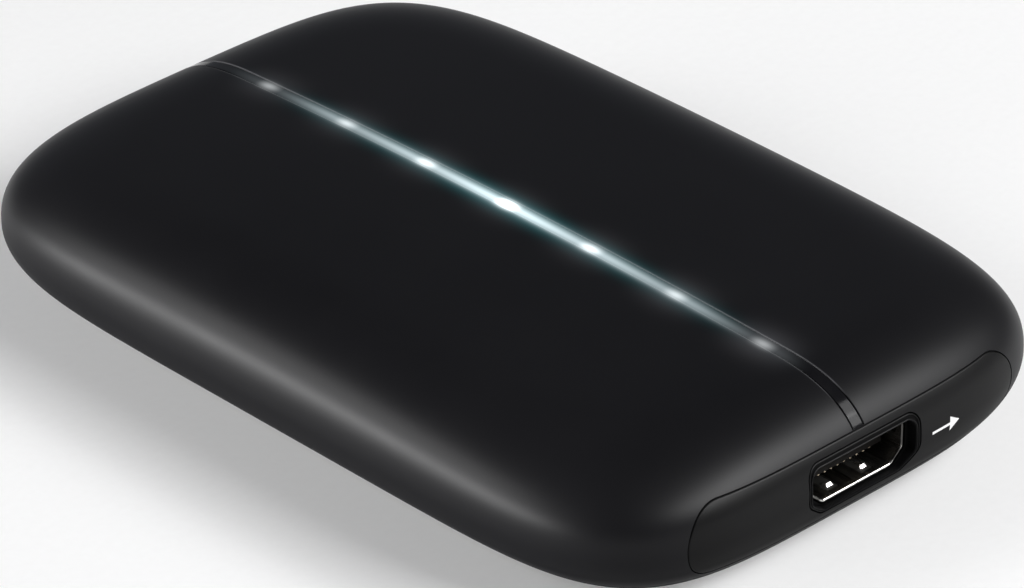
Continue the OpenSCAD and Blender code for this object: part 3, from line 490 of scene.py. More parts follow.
def ramp(tree, value, stops, interpolation="LINEAR"):
    node = add_node(tree, "ShaderNodeValToRGB", {"Fac": value})
    node.color_ramp.interpolation = interpolation
    elements = node.color_ramp.elements
    while len(elements) < len(stops):
        elements.new(0.5)
    for element, (place, colour) in zip(elements, stops):
        element.position = place
        element.color = (*colour, 1)
    return node.outputs["Color"]


def noise(tree, scale, detail=4.0, rough=0.55, stretch=(1, 1, 1)):
    """Noise over the object's own coordinates, in features per metre."""
    where = add_node(tree, "ShaderNodeTexCoord").outputs["Object"]
    placed = add_node(tree, "ShaderNodeMapping", {"Vector": where, "Scale": stretch})
    return add_node(tree, "ShaderNodeTexNoise", {
        "Vector": placed.outputs[0], "Scale": scale, "Detail": detail, "Roughness": rough,
    }).outputs["Fac"]


def map_range(tree, value, low, high, to_low=0.0, to_high=1.0):
    """A value carried from one range to another."""
    return add_node(tree, "ShaderNodeMapRange", {
        "Value": value, "From Min": low, "From Max": high, "To Min": to_low, "To Max": to_high,
    }).outputs["Result"]


def mixed(tree, factor, a, b):
    """Colour between two, by a factor."""
    inputs = {"Factor": factor, "A": a, "B": b}
    return add_node(tree, "ShaderNodeMix", inputs, data_type="RGBA").outputs["Result"]


def roughened(tree, shader, value, low, high):
    """Roughness that follows a noise value."""
    rough = map_range(tree, value, NOISE_LOW, NOISE_HIGH, low, high)
    put(shader, "Roughness", rough)


def mottled(tree, shader, value, dark, light, rough_low, rough_high):
    """Colour and roughness that follow a noise value."""
    tint = ramp(tree, value, [(NOISE_LOW, dark), (NOISE_HIGH, light)])
    put(shader, "Base Color", tint)
    roughened(tree, shader, value, rough_low, rough_high)
    return tint


def bump(tree, shader, height, strength, distance):
    node = add_node(tree, "ShaderNodeBump", {"Height": height, "Strength": strength, "Distance": distance})
    put(shader, "Normal", node.outputs["Normal"])


def grained(name, dark, light, rough, grain_scale, grain, **values):
    """Moulded or cast material with slow colour change and fine grain."""
    made, tree, shader = material(name)
    slow = noise(tree, SLOW_SCALE, detail=3.0)
    mottled(tree, shader, slow, dark, light, *rough)
    fine = noise(tree, grain_scale, detail=2.0, rough=0.6)
    bump(tree, shader, fine, grain, GRAIN_DEPTH)
    set_inputs(shader, **values)
    return made


def metal(name, dark, light, rough, stretch=(1, 1, 1)):
    """Plated or drawn metal with fine streaks."""
    made, tree, shader = material(name)
    set_inputs(shader, Metallic=1.0)
    streak = noise(tree, STREAK_SCALE, rough=STREAK_ROUGH, stretch=stretch)
    mottled(tree, shader, streak, dark, light, *rough)
    bump(tree, shader, streak, STREAK_BUMP, STREAK_DEPTH)
    return made


# Light of the row of lights along the bar, by y: an even glow, and a spot and a haze at each light
GLOW_END = 48.0
LIGHTS_EACH_WAY = 3
LIGHT_STEPS = range(-LIGHTS_EACH_WAY, LIGHTS_EACH_WAY + 1)
LIGHT_PITCH, LIGHT_SHIFT = 13.3, -0.8
STRIP_PEAK, STRIP_FALL, STRIP_TAIL = 0.92, 0.58, 0.03
SPOT_PEAK, SPOT_DROP = 1.0, 2.2
HAZE_MID, HAZE_STEP = 0.54, -0.05
SPOT_REACH, HAZE_REACH = 2.1, 6.4

# The same light across the bar, by x: its middle and lean, then the colour and width of each part of it
LIGHT_X, LIGHT_LEAN = -0.17, 0.0045
BAND_COLOUR, BAND_X, BAND_W = (0.13, 0.13, 0.14), -0.49, 0.61
CORE_COLOUR, CORE_W = (0.85, 0.96, 1.00), 0.77
FRINGE_COLOUR, FRINGE_W = (0.03, 0.145, 0.16), 1.65
SPOT_COLOUR, SPOT_W = (2.40, 2.48, 2.52), 0.70
HAZE_COLOUR, HAZE_W = (0.056, 0.055, 0.059), 2.8


def light_place(step):
    """A light's place along y, with the small shift that the photograph shows."""
    return step * LIGHT_PITCH + LIGHT_SHIFT


def strip_glow(step):
    """The even glow falls by one share from light to light and ends at the outermost ones."""
    if abs(step) == LIGHTS_EACH_WAY:
        return STRIP_TAIL
    return STRIP_PEAK * STRIP_FALL ** abs(step)


def spot_glow(step):
    """The middle light is the brightest."""
    return SPOT_PEAK / (1 + SPOT_DROP * abs(step))


def haze_glow(step):
    """The haze is stronger towards the front end."""
    return HAZE_MID + HAZE_STEP * step


def glow_ramp(tree, share, stops):
    """Strength along the bar, smooth between stops of y and value."""
    stops = [((y + GLOW_END) / (2 * GLOW_END), (v, v, v)) for y, v in stops]
    return ramp(tree, share, stops, "EASE")


def strip_stops():
    """Stops at the lights, and nothing at the ends."""
    lights = [(light_place(step), strip_glow(step)) for step in LIGHT_STEPS]
    return [(-GLOW_END, 0.0)] + lights + [(GLOW_END, 0.0)]


def light_stops(strength, reach):
    """Stops that rise to each light's strength and fall to nothing at a distance on both sides."""
    stops = []
    for step in LIGHT_STEPS:
        place = light_place(step)
        stops += [(place - reach, 0.0), (place, strength(step)), (place + reach, 0.0)]
    return stops


def vector_maths(tree, operation, inputs):
    return add_node(tree, "ShaderNodeVectorMath", inputs, operation=operation).outputs["Vector"]


def tinted(tree, colour, *values):
    """Colour scaled by the product of some values."""
    for value in values:
        colour = vector_maths(tree, "SCALE", {0: colour, "Scale": value})
    return colour


def row_light(tree, x, y):
    """Colour of the light that the row gives at x and y on the bar and on the case beside it."""
    share = map_range(tree, y, -GLOW_END * MM, GLOW_END * MM)
    x = maths(tree, "SUBTRACT", x, maths(tree, "MULTIPLY", y, LIGHT_LEAN))
    strip = glow_ramp(tree, share, strip_stops())
    spots = glow_ramp(tree, share, light_stops(spot_glow, SPOT_REACH))
    haze = glow_ramp(tree, share, light_stops(haze_glow, HAZE_REACH))
    total = tinted(tree, BAND_COLOUR, falloff(tree, x, BAND_X * MM, BAND_W * MM, True), strip)
    parts = [
        (CORE_COLOUR, CORE_W, strip), (FRINGE_COLOUR, FRINGE_W, strip),
        (SPOT_COLOUR, SPOT_W, spots), (HAZE_COLOUR, HAZE_W, haze),
    ]
    for colour, width, along in parts:
        term = tinted(tree, colour, falloff(tree, x, LIGHT_X * MM, width * MM), along)
        total = vector_maths(tree, "ADD", {0: total, 1: term})
    return total


def place_axes(tree):
    """The object's own coordinates."""
    where = add_node(tree, "ShaderNodeTexCoord").outputs["Object"]
    return add_node(tree, "ShaderNodeSeparateXYZ", {"Vector": where}).outputs


def maths(tree, operation, a, b=0.0):
    return add_node(tree, "ShaderNodeMath", {0: a, 1: b}, operation=operation).outputs[0]


def falloff(tree, value, middle, width, flat=False):
    """Bell curve of a coordinate about a middle, both in metres. A flat one has a broad top."""
    off = maths(tree, "DIVIDE", maths(tree, "SUBTRACT", value, middle), width)
    power = maths(tree, "MULTIPLY", off, off)
    if flat:
        power = maths(tree, "MULTIPLY", power, power)
    return maths(tree, "EXPONENT", maths(tree, "MULTIPLY", power, -1.0))


# Gloss of the case, the inserts and the bar. The first two fade between two heights in millimetres
DULL_TOP, DULL_BOTTOM, DULL_GLOSS = 11.4, 5.8, 0.019
CASE_GLOSS, INSERT_GLOSS, BAR_GLOSS = 0.18, 0.17, 0.088

# Colours of the case, the painted highlight along the edges of its groove, and the heights between which the
# bar's light sets in
CASE_DARK, CASE_LIGHT = (0.0058, 0.0058, 0.0068), (0.0070, 0.0070, 0.0081)
GROOVE_HIGHLIGHT_COLOUR, GROOVE_HIGHLIGHT_W = (0.088, 0.088, 0.093, 1), 0.09
LIT_FROM, LIT_FULL = 16.0, 17.0


def dull_below(tree, shader, gloss):
    """Gloss that fades down the flanks, so that they mirror little of the pale floor, as in the photo."""
    height = place_axes(tree)["Z"]
    fade = map_range(tree, height, DULL_BOTTOM * MM, DULL_TOP * MM, DULL_GLOSS, gloss)
    put(shader, "Specular IOR Level", fade)


def case_plastic():
    """Black moulded plastic with a fine matte grain, a painted highlight along the groove's edges, and the
    bar's light on it.
    """
    made, tree, shader = material("case_plastic")
    slow = noise(tree, scale=40.0, detail=3.0)
    tint = mottled(tree, shader, slow, CASE_DARK, CASE_LIGHT, 0.40, 0.44)
    fine = noise(tree, CASE_GRAIN, detail=2.0, rough=0.65)
    bump(tree, shader, fine, GRAIN_BUMP, GRAIN_DEPTH)
    axes = place_axes(tree)
    x, y, z = axes["X"], axes["Y"], axes["Z"]
    on_top = map_range(tree, z, LIT_FROM * MM, LIT_FULL * MM)
    # Painted highlight: the groove's rounded edges on the top are drawn in a paler colour, in a thin band.
    edge_x = BAR_W / 2 + BAR_GAP + GROOVE_ROUND / 2
    edge = falloff(tree, maths(tree, "ABSOLUTE", x), edge_x * MM, GROOVE_HIGHLIGHT_W * MM)
    painted_highlight = mixed(tree, maths(tree, "MULTIPLY", edge, on_top), tint, GROOVE_HIGHLIGHT_COLOUR)
    put(shader, "Base Color", painted_highlight)
    put(shader, "Emission Color", tinted(tree, row_light(tree, x, y), on_top))
    set_inputs(shader, Emission_Strength=1.0)
    dull_below(tree, shader, CASE_GLOSS)
    return made


def bar_plastic():
    """Smoked glossy plastic with the light of the row below it."""
    made, tree, shader = material("bar_plastic")
    slow = noise(tree, scale=300.0, detail=2.0)
    mottled(tree, shader, slow, (0.006, 0.006, 0.007), (0.009, 0.009, 0.010), 0.08, 0.12)
    axes = place_axes(tree)
    put(shader, "Emission Color", row_light(tree, axes["X"], axes["Y"]))
    set_inputs(shader, Specular_IOR_Level=BAR_GLOSS, Emission_Strength=1.0)
    return made


def rim_metal():
    """Plated steel of the sleeves' front edges, with a painted highlight along the bottom and a thinner one
    higher up, painted shade at the sides and above, and a fold line.
    """
    made, tree, shader = material("rim_steel_painted_light")
    streak = noise(tree, STREAK_SCALE, rough=STREAK_ROUGH, stretch=(0.3, 1, 0.3))
    roughened(tree, shader, streak, 0.16, 0.22)
    axes = place_axes(tree)
    low, high = PORT_Z - PORT_H / 2 - PORT_METAL, PORT_Z + PORT_H / 2 + PORT_METAL
    height = map_range(tree, axes["Z"], low * MM, high * MM)
    # Painted highlight along the bottom and a thinner one a third of the way up; the dark steel between them
    # and above is painted shade.
    stops = [
        (0.0, (0.72, 0.71, 0.69)), (0.09, (0.70, 0.69, 0.67)), (0.13, (0.11, 0.107, 0.10)),
        (0.28, (0.13, 0.127, 0.12)), (0.33, (0.40, 0.39, 0.37)), (0.38, (0.085, 0.083, 0.08)),
        (1.0, (0.07, 0.068, 0.065)),
    ]
    tint = ramp(tree, height, stops)
    fold_w, fold_colour = 0.05, (0.02, 0.02, 0.02, 1)
    fold = mixed(tree, falloff(tree, axes["X"], 0.0, fold_w * MM), tint, fold_colour)
    put(shader, "Base Color", fold)
    set_inputs(shader, Metallic=1.0)
    return made


CASE = case_plastic()
BAR = bar_plastic()
INSERT = grained(
    "insert_plastic", (0.0028, 0.0028, 0.0030), (0.0038, 0.0038, 0.0041), (0.38, 0.43),
    CASE_GRAIN, GRAIN_BUMP,
)
dull_below(INSERT.node_tree, INSERT.node_tree.nodes["Principled BSDF"], INSERT_GLOSS)
# Darker, less glossy plastic of the ports' recesses: painted shade round the port.
RECESS_SHADE = grained(
    "insert_recess_shade", (0.0010, 0.0010, 0.0011), (0.0016, 0.0016, 0.0017), (0.48, 0.56), CASE_GRAIN, GRAIN_BUMP,
    Specular_IOR_Level=0.06,
)
STEEL = metal("sleeve_steel", (0.42, 0.405, 0.38), (0.54, 0.52, 0.49), (0.16, 0.26), (1, 0.1, 1))
RIM = rim_metal()
SPRING = metal("spring_steel", (0.62, 0.60, 0.57), (0.78, 0.77, 0.74), (0.24, 0.34), (1, 0.2, 1))
GOLD = metal("contact_gold", (0.20, 0.165, 0.12), (0.28, 0.24, 0.18), (0.28, 0.40))
NICKEL = metal("ferrule_nickel", (0.58, 0.57, 0.54), (0.72, 0.71, 0.68), (0.12, 0.22), (1, 1, 6))
INSULATOR = grained(
    "socket_plastic", (0.003, 0.0026, 0.0023), (0.005, 0.0044, 0.004), (0.45, 0.55), 5000.0, GRAIN_BUMP,
    Specular_IOR_Level=0.04,
)
BOARD = grained("solder_mask", (0.006, 0.045, 0.022), (0.010, 0.065, 0.032), (0.28, 0.38), 2500.0, 0.06)
CHIP = grained("chip_resin", (0.012, 0.012, 0.013), (0.020, 0.020, 0.021), (0.42, 0.55), 6000.0, 0.12)
PAD = grained("pad_silicone", (0.30, 0.34, 0.38), (0.36, 0.40, 0.44), (0.60, 0.75), 3000.0, 0.12)
SINK = metal("sink_aluminium", (0.10, 0.10, 0.11), (0.16, 0.16, 0.17), (0.36, 0.48), (1, 10, 1))
FERRITE = grained("coil_ferrite", (0.05, 0.05, 0.052), (0.08, 0.08, 0.084), (0.55, 0.70), 3000.0, 0.15)
CERAMIC = grained("capacitor_ceramic", (0.36, 0.25, 0.14), (0.48, 0.35, 0.22), (0.45, 0.60), 5000.0, 0.08)
RUBBER = grained("foot_rubber", (0.012, 0.012, 0.012), (0.018, 0.018, 0.018), (0.70, 0.85), 4000.0, 0.20)
SCREW = metal("screw_black", (0.03, 0.03, 0.032), (0.06, 0.06, 0.062), (0.30, 0.42))
LED = grained(
    "led_phosphor", (0.85, 0.92, 0.95), (0.95, 1.0, 1.0), (0.30, 0.40), 4000.0, 0.05,
    Emission_Color=(0.8, 0.97, 1, 1), Emission_Strength=1.0,
)
PRINT = grained("mark_print", (0.78, 0.78, 0.78), (0.86, 0.86, 0.86), (0.45, 0.55), 9000.0, 0.05)


# The covers

COLUMNS = plan_columns(count=512)


def ring_at(level, g=0.0, grow=0.0, drop=0.0):
    """Ring of the skin, moved outwards and down."""
    ring = skin(COLUMNS, level, g)
    middle = np.array([1 + grow / HALF_W, 1 + grow / HALF_L, 1.0])
    return ring * middle - np.array([0, 0, drop])


def rings_between(start, end, count, g=0.0):
    """Rings of the skin from one level to another."""
    return [ring_at(level, g) for level in np.linspace(start, end, count)]


def parting_ring(level, turn, down):
    """Ring of a cover's rounded edge at the parting line. down is 1 for the top cover and -1 for the base."""
    return ring_at(level, 0, -PARTING_ROUND * (1 - math.cos(turn)), down * PARTING_ROUND * math.sin(turn))


def window_loop(grow):
    """Outline of an end's window, grown by a distance."""
    corners = box_corners(BEZEL_L + 2 * grow, BEZEL_H + 2 * grow)
    return outline(corners, BEZEL_H / 2 + grow - SHORT_OF_HALF, (0, BEZEL_Z))


def bar_path():
    """Middle line of the bar over the top, from window to window, and its outward normals, in y and z."""
    lowest, side_count, top_count = 0.1, 400, 161
    levels = np.linspace(lowest, 1.0, side_count)
    front = skin(-math.pi / 2, levels)
    top_y = np.linspace(front[-1, 1], -front[-1, 1], top_count)[1:-1]
    top = np.stack([top_y, UNDER + BODY_H - CROWN_L * (top_y / HALF_L) ** 2], -1)
    side = front[:, 1:]
    path = np.concatenate([side, top, side[::-1] * np.array([-1.0, 1.0])])
    tangent = unit(np.gradient(path, axis=0))
    normals = np.stack([-tangent[:, 1], tangent[:, 0]], -1)
    above = path[:, 1] > BEZEL_Z + BEZEL_H / 2 + SEAM + BAR_END_GAP
    return path[above], normals[above]


def beside(yz, x=0.0):
    """Places or ways in the plane of y and z, at one x."""
    return np.stack([np.full(len(yz), x), yz[:, 0], yz[:, 1]], -1)


def swept(path, normals, x, depth):
    """Row of points along the bar's path at an x and a depth under the skin."""
    return beside(path - normals * depth, x)


def make_top_cover():
    """Upper cover with both ends' windows and the bar's groove cut out, and their edges rounded."""
    steps = np.linspace(0, math.pi / 2, 4)
    edge = low_level(PART_H + PARTING_ROUND)
    rings = rings_between(1.95, 1.0, 18)
    rings += rings_between(1.0, 0.0, 46)[1:]
    rings += rings_between(0.0, edge, 14)[1:]
    rings += [parting_ring(edge, turn, 1) for turn in steps[1:]]
    rings += rings_between(low_level(PART_H, WALL), 0.0, 4, WALL)
    rings += rings_between(0.0, 1.0, 8, WALL)[1:]
    rings += [ring_at(1.5, WALL)]
    whole = ring_mesh(rings, (0, 0, UNDER + BODY_H), (0, 0, UNDER + BODY_H - WALL))
    window, _ = window_loop(SEAM + WINDOW_ROUND)
    front = in_plane(window, -HALF_L - CUT_PAST)
    depth = CUT_PAST + WINDOW_CUT
    rear = front * np.array([-1, -1, 1])
    cutters = [prism_mesh(front, (0, depth, 0)), prism_mesh(rear, (0, -depth, 0))]
    path, normals = bar_path()
    groove = BAR_W / 2 + BAR_GAP + GROOVE_ROUND
    thin = slice(None, None, 4)
    outer = swept(path[thin], normals[thin], -groove, -CUT_OVER)
    inner = swept(path[thin], normals[thin], -groove, GROOVE_DEPTH)
    outer[0, 1], outer[-1, 1] = -HALF_L - CUT_PAST, HALF_L + CUT_PAST
    cutters.append(prism_mesh(np.concatenate([outer, inner[::-1]]), (2 * groove, 0, 0)))
    patches = Patches()
    keep_normals(patches, cut(whole, cutters), whole)
    ends = Patches()
    loop, ways = window_loop(SEAM)
    round_edge(ends, loop, ways, WINDOW_ROUND, 1, wall=WINDOW_WALL)
    patches.join(ends)
    patches.join(ends.turned())
    up = beside(normals)
    for side in (-1, 1):
        rows, row_normals = [], []
        across = np.repeat([[-side, 0.0, 0.0]], len(path), 0)
        for turn in np.linspace(0, math.pi / 2, 5):
            x = side * (BAR_W / 2 + BAR_GAP + GROOVE_ROUND * (1 - math.sin(turn)))
            rows.append(swept(path, normals, x, GROOVE_ROUND * (1 - math.cos(turn))))
            row_normals.append(unit(up * math.cos(turn) + across * math.sin(turn)))
        patches.strip(rows, row_normals, closed=False)
        wall = swept(path, normals, side * (BAR_W / 2 + BAR_GAP), GROOVE_DEPTH)
        patches.strip([rows[-1], wall], [across, across], closed=False)
    show("top_shell", patches, CASE, "case", "top_cover")


def make_base_cover():
    """Lower cover with recesses for the feet."""
    steps = np.linspace(0, math.pi / 2, 4)
    edge = low_level(PART_H - PARTING_ROUND)
    rings = rings_between(-1.0, low_level(PART_H, WALL), 6, WALL)
    rings += [parting_ring(edge, turn, -1) for turn in steps[::-1]]
    rings += rings_between(edge, -1.0, 26)[1:]
    rings += [ring_at(-1.0) * np.array([share, share, 1.0]) for share in (0.97, 0.5)]
    whole = ring_mesh(rings, (0, 0, UNDER + WALL), (0, 0, UNDER))
    turn = np.linspace(0, 2 * math.pi, FOOT_STEPS + 1)[:-1]
    radius = FOOT_D / 2 + SLACK
    height = np.full(FOOT_STEPS, UNDER - CUT_OVER)
    cutters = []
    for x, y in FOOT_PLACES:
        loop = np.stack([x + radius * np.cos(turn), y + radius * np.sin(turn), height], -1)
        cutters.append(prism_mesh(loop, (0, 0, CUT_OVER + FOOT_SINK)))
    patches = Patches()
    keep_normals(patches, cut(whole, cutters), whole)
    show("base_shell", patches, CASE, "case", "base_cover")


def rounded_section(half, radius, foot, sunk, count, flat=()):
    """Section with rounded upper edges: each point's x and depth, and its normal across and up."""
    arc = []
    for turn in np.linspace(0, math.pi / 2, count):
        across, up = math.cos(turn), math.sin(turn)
        arc.append((radius * (1 - across), sunk + radius * (1 - up), across, up))
    left = [(-half + x, depth, -across, up) for x, depth, across, up in arc]
    level = [(x, sunk, 0.0, 1.0) for x in flat]
    right = [(half - x, depth, across, up) for x, depth, across, up in arc[::-1]]
    return [(-half, foot, -1.0, 0.0)] + left + level + right + [(half, foot, 1.0, 0.0)]


def make_light_bar():
    """Inlay just under the top's surface, with rounded edges."""
    path, normals = bar_path()
    half = BAR_W / 2
    flat = np.linspace(-half + BAR_ROUND, half - BAR_ROUND, 9)[1:-1]
    rows, row_normals = [], []
    for x, depth, across, up in rounded_section(half, BAR_ROUND, BAR_T, BAR_SUNK, 5, flat):
        rows.append(swept(path, normals, x, depth))
        row_normals.append(beside(normals * up, across))
    patches = Patches()
    patches.strip(rows, row_normals, closed=False)
    patches.strip([rows[0], rows[-1]], [beside(-normals)] * 2, closed=False)
    for end, way in ((0, -1.0), (-1, 1.0)):
        points = [row[end] for row in rows]
        patches.add(points, [list(range(len(rows)))], [(0.0, way, 0.0)] * len(rows))
    show("light_inlay", patches, BAR, "light_bar", "light_bar")


# The inserts

def port_outline(grow):
    """Outline of a video port's opening, grown by a distance."""
    corners = slanted_corners(PORT_W, PORT_FLOOR_W, PORT_H, PORT_SIDE_H)
    loop, ways = outline(corners, PORT_CORNER, (0, PORT_Z), PORT_STEP)
    return loop + grow * ways, ways


def bead(patches, loop, ways, outer, inner, height, sunk):
    """Rounded bead on the front end between two offsets inside a loop, on a ground sunk under the skin."""
    rows, normals = [], []
    middle, half = (outer + inner) / 2, (inner - outer) / 2
    across = in_plane(ways)
    for turn in np.linspace(0, math.pi, BEAD_ROWS):
        at = loop - (middle - half * math.cos(turn)) * ways
        rows.append(front_points(at, sunk - height * math.sin(turn)))
        normals.append(unit(front_normals(at) * math.sin(turn) / height + across * math.cos(turn) / half))
    patches.strip(rows, normals)


def bezel_patches(sockets):
    """Insert of the front end, and its recess round the port, which takes a darker plastic as painted shade.
    sockets are further openings' outlines.
    """
    patches, recess = Patches(), Patches()
    rim, rim_ways = window_loop(-SEAM)
    corners = slanted_corners(POCKET_W, POCKET_FLOOR_W, POCKET_H, POCKET_SIDE_H)
    pocket, ways = outline(corners, POCKET_CORNER, (0, PORT_Z + POCKET_LIFT), PORT_STEP)
    openings = [(pocket, ways, POCKET_ROUND)] + [(*socket, SOCKET_ROUND) for socket in sockets]
    outer = rim - BEZEL_ROUND * rim_ways
    holes = [loop + radius * out for loop, out, radius in openings]
    points, faces = fill_region(outer, holes, SHEET_STEP)
    patches.add(front_points(points), faces.tolist(), front_normals(points))
    round_edge(patches, rim, rim_ways, BEZEL_ROUND, -1, wall=BEZEL_WALL)
    for loop, out, radius in openings[1:]:
        round_edge(patches, loop, out, radius, 1, wall=BEZEL_T)
    round_edge(patches, pocket, ways, POCKET_ROUND, 1, wall=FRAME_GAP_DEPTH)

    gap_floor = FRAME_GAP_DEPTH + POCKET_ROUND
    frame_edge = pocket - FRAME_GAP * ways
    across = in_plane(ways)
    gap_rows = [front_points(pocket, gap_floor), front_points(frame_edge, gap_floor)]
    recess.strip(gap_rows, [front_normals(pocket), front_normals(frame_edge)])
    recess.strip([gap_rows[1], front_points(frame_edge, LEDGE_DEPTH)], [across, across])
    bead(patches, pocket, ways, FRAME_GAP, FRAME_GAP + BEAD_W, BEAD_H, LEDGE_DEPTH)
    corners = slanted_corners(LIP_W, LIP_FLOOR_W, LIP_TOP - LIP_BOTTOM, LIP_SIDE_H)
    lip, lip_ways = outline(corners, LIP_CORNER, (0, (LIP_TOP + LIP_BOTTOM) / 2), PORT_STEP)
    inner_bead = lip + (LIP_ROUND + BEAD_W) * lip_ways
    points, faces = fill_region(pocket - (FRAME_GAP + BEAD_W) * ways, [inner_bead], LEDGE_STEP)
    recess.add(front_points(points, LEDGE_DEPTH), faces.tolist(), front_normals(points))
    bead(patches, inner_bead, lip_ways, 0.0, BEAD_W, BEAD_H, LEDGE_DEPTH)

    floor_y = PORT_RECESS - SLACK - END_Y
    round_edge(patches, lip, lip_ways, LIP_ROUND, 1, wall_y=floor_y, sunk=LEDGE_DEPTH)
    hole, hole_ways = port_outline(PORT_METAL + SLEEVE_GAP)
    points, faces = fill_region(lip, [hole], SHEET_STEP)
    forward = np.repeat([[0.0, -1.0, 0.0]], len(points), 0)
    recess.add(in_plane(points, floor_y), faces.tolist(), forward)
    edge, inward = in_plane(hole, floor_y), in_plane(-hole_ways)
    recess.strip([edge, edge + np.array([0, SLEEVE_WALL, 0])], [inward, inward])
    return patches, recess


def socket_outline(width, height, x, z):
    """Round-ended outline of a socket's opening in the rear insert, with slack round the socket."""
    corners = box_corners(width + 2 * SLACK, height + 2 * SLACK)
    return outline(corners, height / 2 + SLACK - SHORT_OF_HALF, (x, z), PORT_STEP)


def make_bezels():
    front, recess = bezel_patches([])
    show("front_insert", front, INSERT, "insert", "front_bezel")
    show("front_insert_recess", recess, RECESS_SHADE, "insert")
    usb = socket_outline(USB_W, USB_H, USB_X, USB_Z)
    jack = socket_outline(FERRULE_D, FERRULE_D, -JACK_X, JACK_Z)
    rear, recess = bezel_patches([usb, jack])
    show("rear_insert", rear.turned(), INSERT, "insert", "rear_bezel")
    show("rear_insert_recess", recess.turned(), RECESS_SHADE, "insert")


def make_port_rims():
    """Rolled front edges of the video ports' sleeves."""
    loop, ways = port_outline(PORT_METAL / 2)
    rows, normals = [], []
    for turn in np.linspace(0, math.pi, RIM_ROWS):
        at = loop - RIM_HALF * math.cos(turn) * ways
        rows.append(in_plane(at, PORT_RECESS - END_Y - RIM_OUT * math.sin(turn)))
        side = -math.cos(turn) / RIM_HALF * ways
        normals.append(unit(in_plane(side, -math.sin(turn) / RIM_OUT)))
    rim = Patches()
    rim.strip(rows, normals)
    show("output_port_rim", rim, RIM, "sleeve")
    show("input_port_rim", rim.turned(), RIM, "sleeve")


def make_output_mark():
    """Plain printed arrow beside the output port."""
    middle, neck = PORT_Z - MARK_DROP, MARK_RIGHT - MARK_HEAD
    shape = np.array([
        (MARK_LEFT, middle + MARK_STROKE), (neck, middle + MARK_STROKE), (neck, middle + MARK_HALF),
        (MARK_RIGHT, middle), (neck, middle - MARK_HALF), (neck, middle - MARK_STROKE),
        (MARK_LEFT, middle - MARK_STROKE),
    ])
    loop = []
    for a, b in zip(shape, np.roll(shape, -1, 0)):
        count = max(2, int(np.linalg.norm(b - a) / MARK_STEP))
        loop.append(a + (b - a) * (np.arange(count) / count)[:, None])
    points, faces = fill_region(np.concatenate(loop), [], MARK_STEP)
    patches = Patches()
    patches.add(front_points(points, -MARK_PROUD), faces.tolist(), front_normals(points))
    show("output_mark", patches, PRINT, "insert")


def bump_shape(share):
    """Height of a spring's bump along its length: a rise, a flat crown and a fall, with no corners."""
    rise = np.clip(share / BUMP_RISE, 0, 1)
    fall = np.clip((1 - share) / BUMP_FALL, 0, 1)
    return np.minimum(rise * rise * (3 - 2 * rise), fall * fall * (3 - 2 * fall))


def spring_patches():
    """Leaf spring in a port's floor, from its tip at y = 0, with a smooth bump. z = 0 is the floor."""
    patches = Patches()
    section = rounded_section(SPRING_W / 2, SPRING_ROUND, PORT_METAL, 0.0, 4)
    rows = [[(x, 0.0, -depth), (x, SPRING_L, -depth)] for x, depth, _, _ in section]
    patches.strip(rows, [[(across, 0.0, up)] * 2 for _, _, across, up in section], closed=False)
    patches.strip([rows[0], rows[-1]], [[(0.0, 0.0, -1.0)] * 2] * 2, closed=False)
    for end, way in ((0, -1.0), (1, 1.0)):
        points = [row[end] for row in rows]
        patches.add(points, [list(range(len(rows)))], [(0.0, way, 0.0)] * len(rows))
    u, v = np.meshgrid(np.linspace(-1, 1, 25), np.linspace(0, 1, 33), indexing="ij")

    def height(u, v):
        return BUMP_H * bump_shape(v) * np.clip(1 - np.abs(u) ** BUMP_EXP, 0, 1) ** 0.5

    step = 1e-3
    slope_x = (height(u + step, v) - height(u - step, v)) / (step * BUMP_W)
    slope_y = (height(u, v + step) - height(u, v - step)) / (2 * step * (BUMP_TO - BUMP_FROM))
    points = np.stack([u * BUMP_W / 2, BUMP_FROM + v * (BUMP_TO - BUMP_FROM), height(u, v)], -1)
    patches.strip(points, unit(np.stack([-slope_x, -slope_y, np.ones_like(u)], -1)), closed=False)
    return patches


def make_springs():
    one = spring_patches()
    pair = one.moved(-SPRING_GAP / 2, SPRING_SET, -PORT_H / 2)
    pair.join(one.moved(SPRING_GAP / 2, SPRING_SET, -PORT_H / 2))
    for row, placed in (("lower", pair), ("upper", pair.moved(0, 0, 0, (1.0, 1.0, -1.0)))):
        front = placed.moved(0, PORT_RECESS - END_Y, PORT_Z)
        for port, there in (("output", front), ("input", front.turned())):
            name = f"{port}_{row}_springs"
            show(f"{name}_leaf", there, SPRING, "spring", f"{port}_port_{row}_springs", body=name)


make_springs()
make_top_cover()
make_base_cover()
make_light_bar()
make_bezels()
make_port_rims()
make_output_mark()

# Finish of the CAD pieces that nothing replaces: joined corners, soft edges and a material each
NODE_MATERIALS = {
    "leds": LED, "led_board": BOARD, "link_header": INSULATOR, "link_pins": GOLD, "main_board": BOARD,
    "capture_chip": CHIP, "thermal_pad": PAD, "heat_sink": SINK, "video_input_chip": CHIP,
    "video_output_chip": CHIP, "usb_chip": CHIP, "memory_chips": CHIP, "flash_chip": CHIP,
    "inductors": FERRITE, "capacitors": CERAMIC, "crystals": STEEL,
    "usb_shell": STEEL, "usb_tongue": INSULATOR, "usb_contacts": GOLD,
    "audio_jack_body": INSULATOR, "audio_jack_ferrule": NICKEL, "audio_tip_spring": SPRING,
    "audio_sleeve_spring": SPRING, "case_screws": SCREW, "feet": RUBBER,
}
for port in ("output", "input"):
    NODE_MATERIALS |= {
        f"{port}_port_shell": STEEL, f"{port}_port_insulator": INSULATOR, f"{port}_port_contacts": GOLD,
    }
EDGE_ROUND = {
    "output_port_shell": 0.12, "input_port_shell": 0.12, "usb_shell": 0.1, "feet": 0.25,
    "heat_sink": 0.15, "capture_chip": 0.15, "inductors": 0.4, "case_screws": 0.12,
}
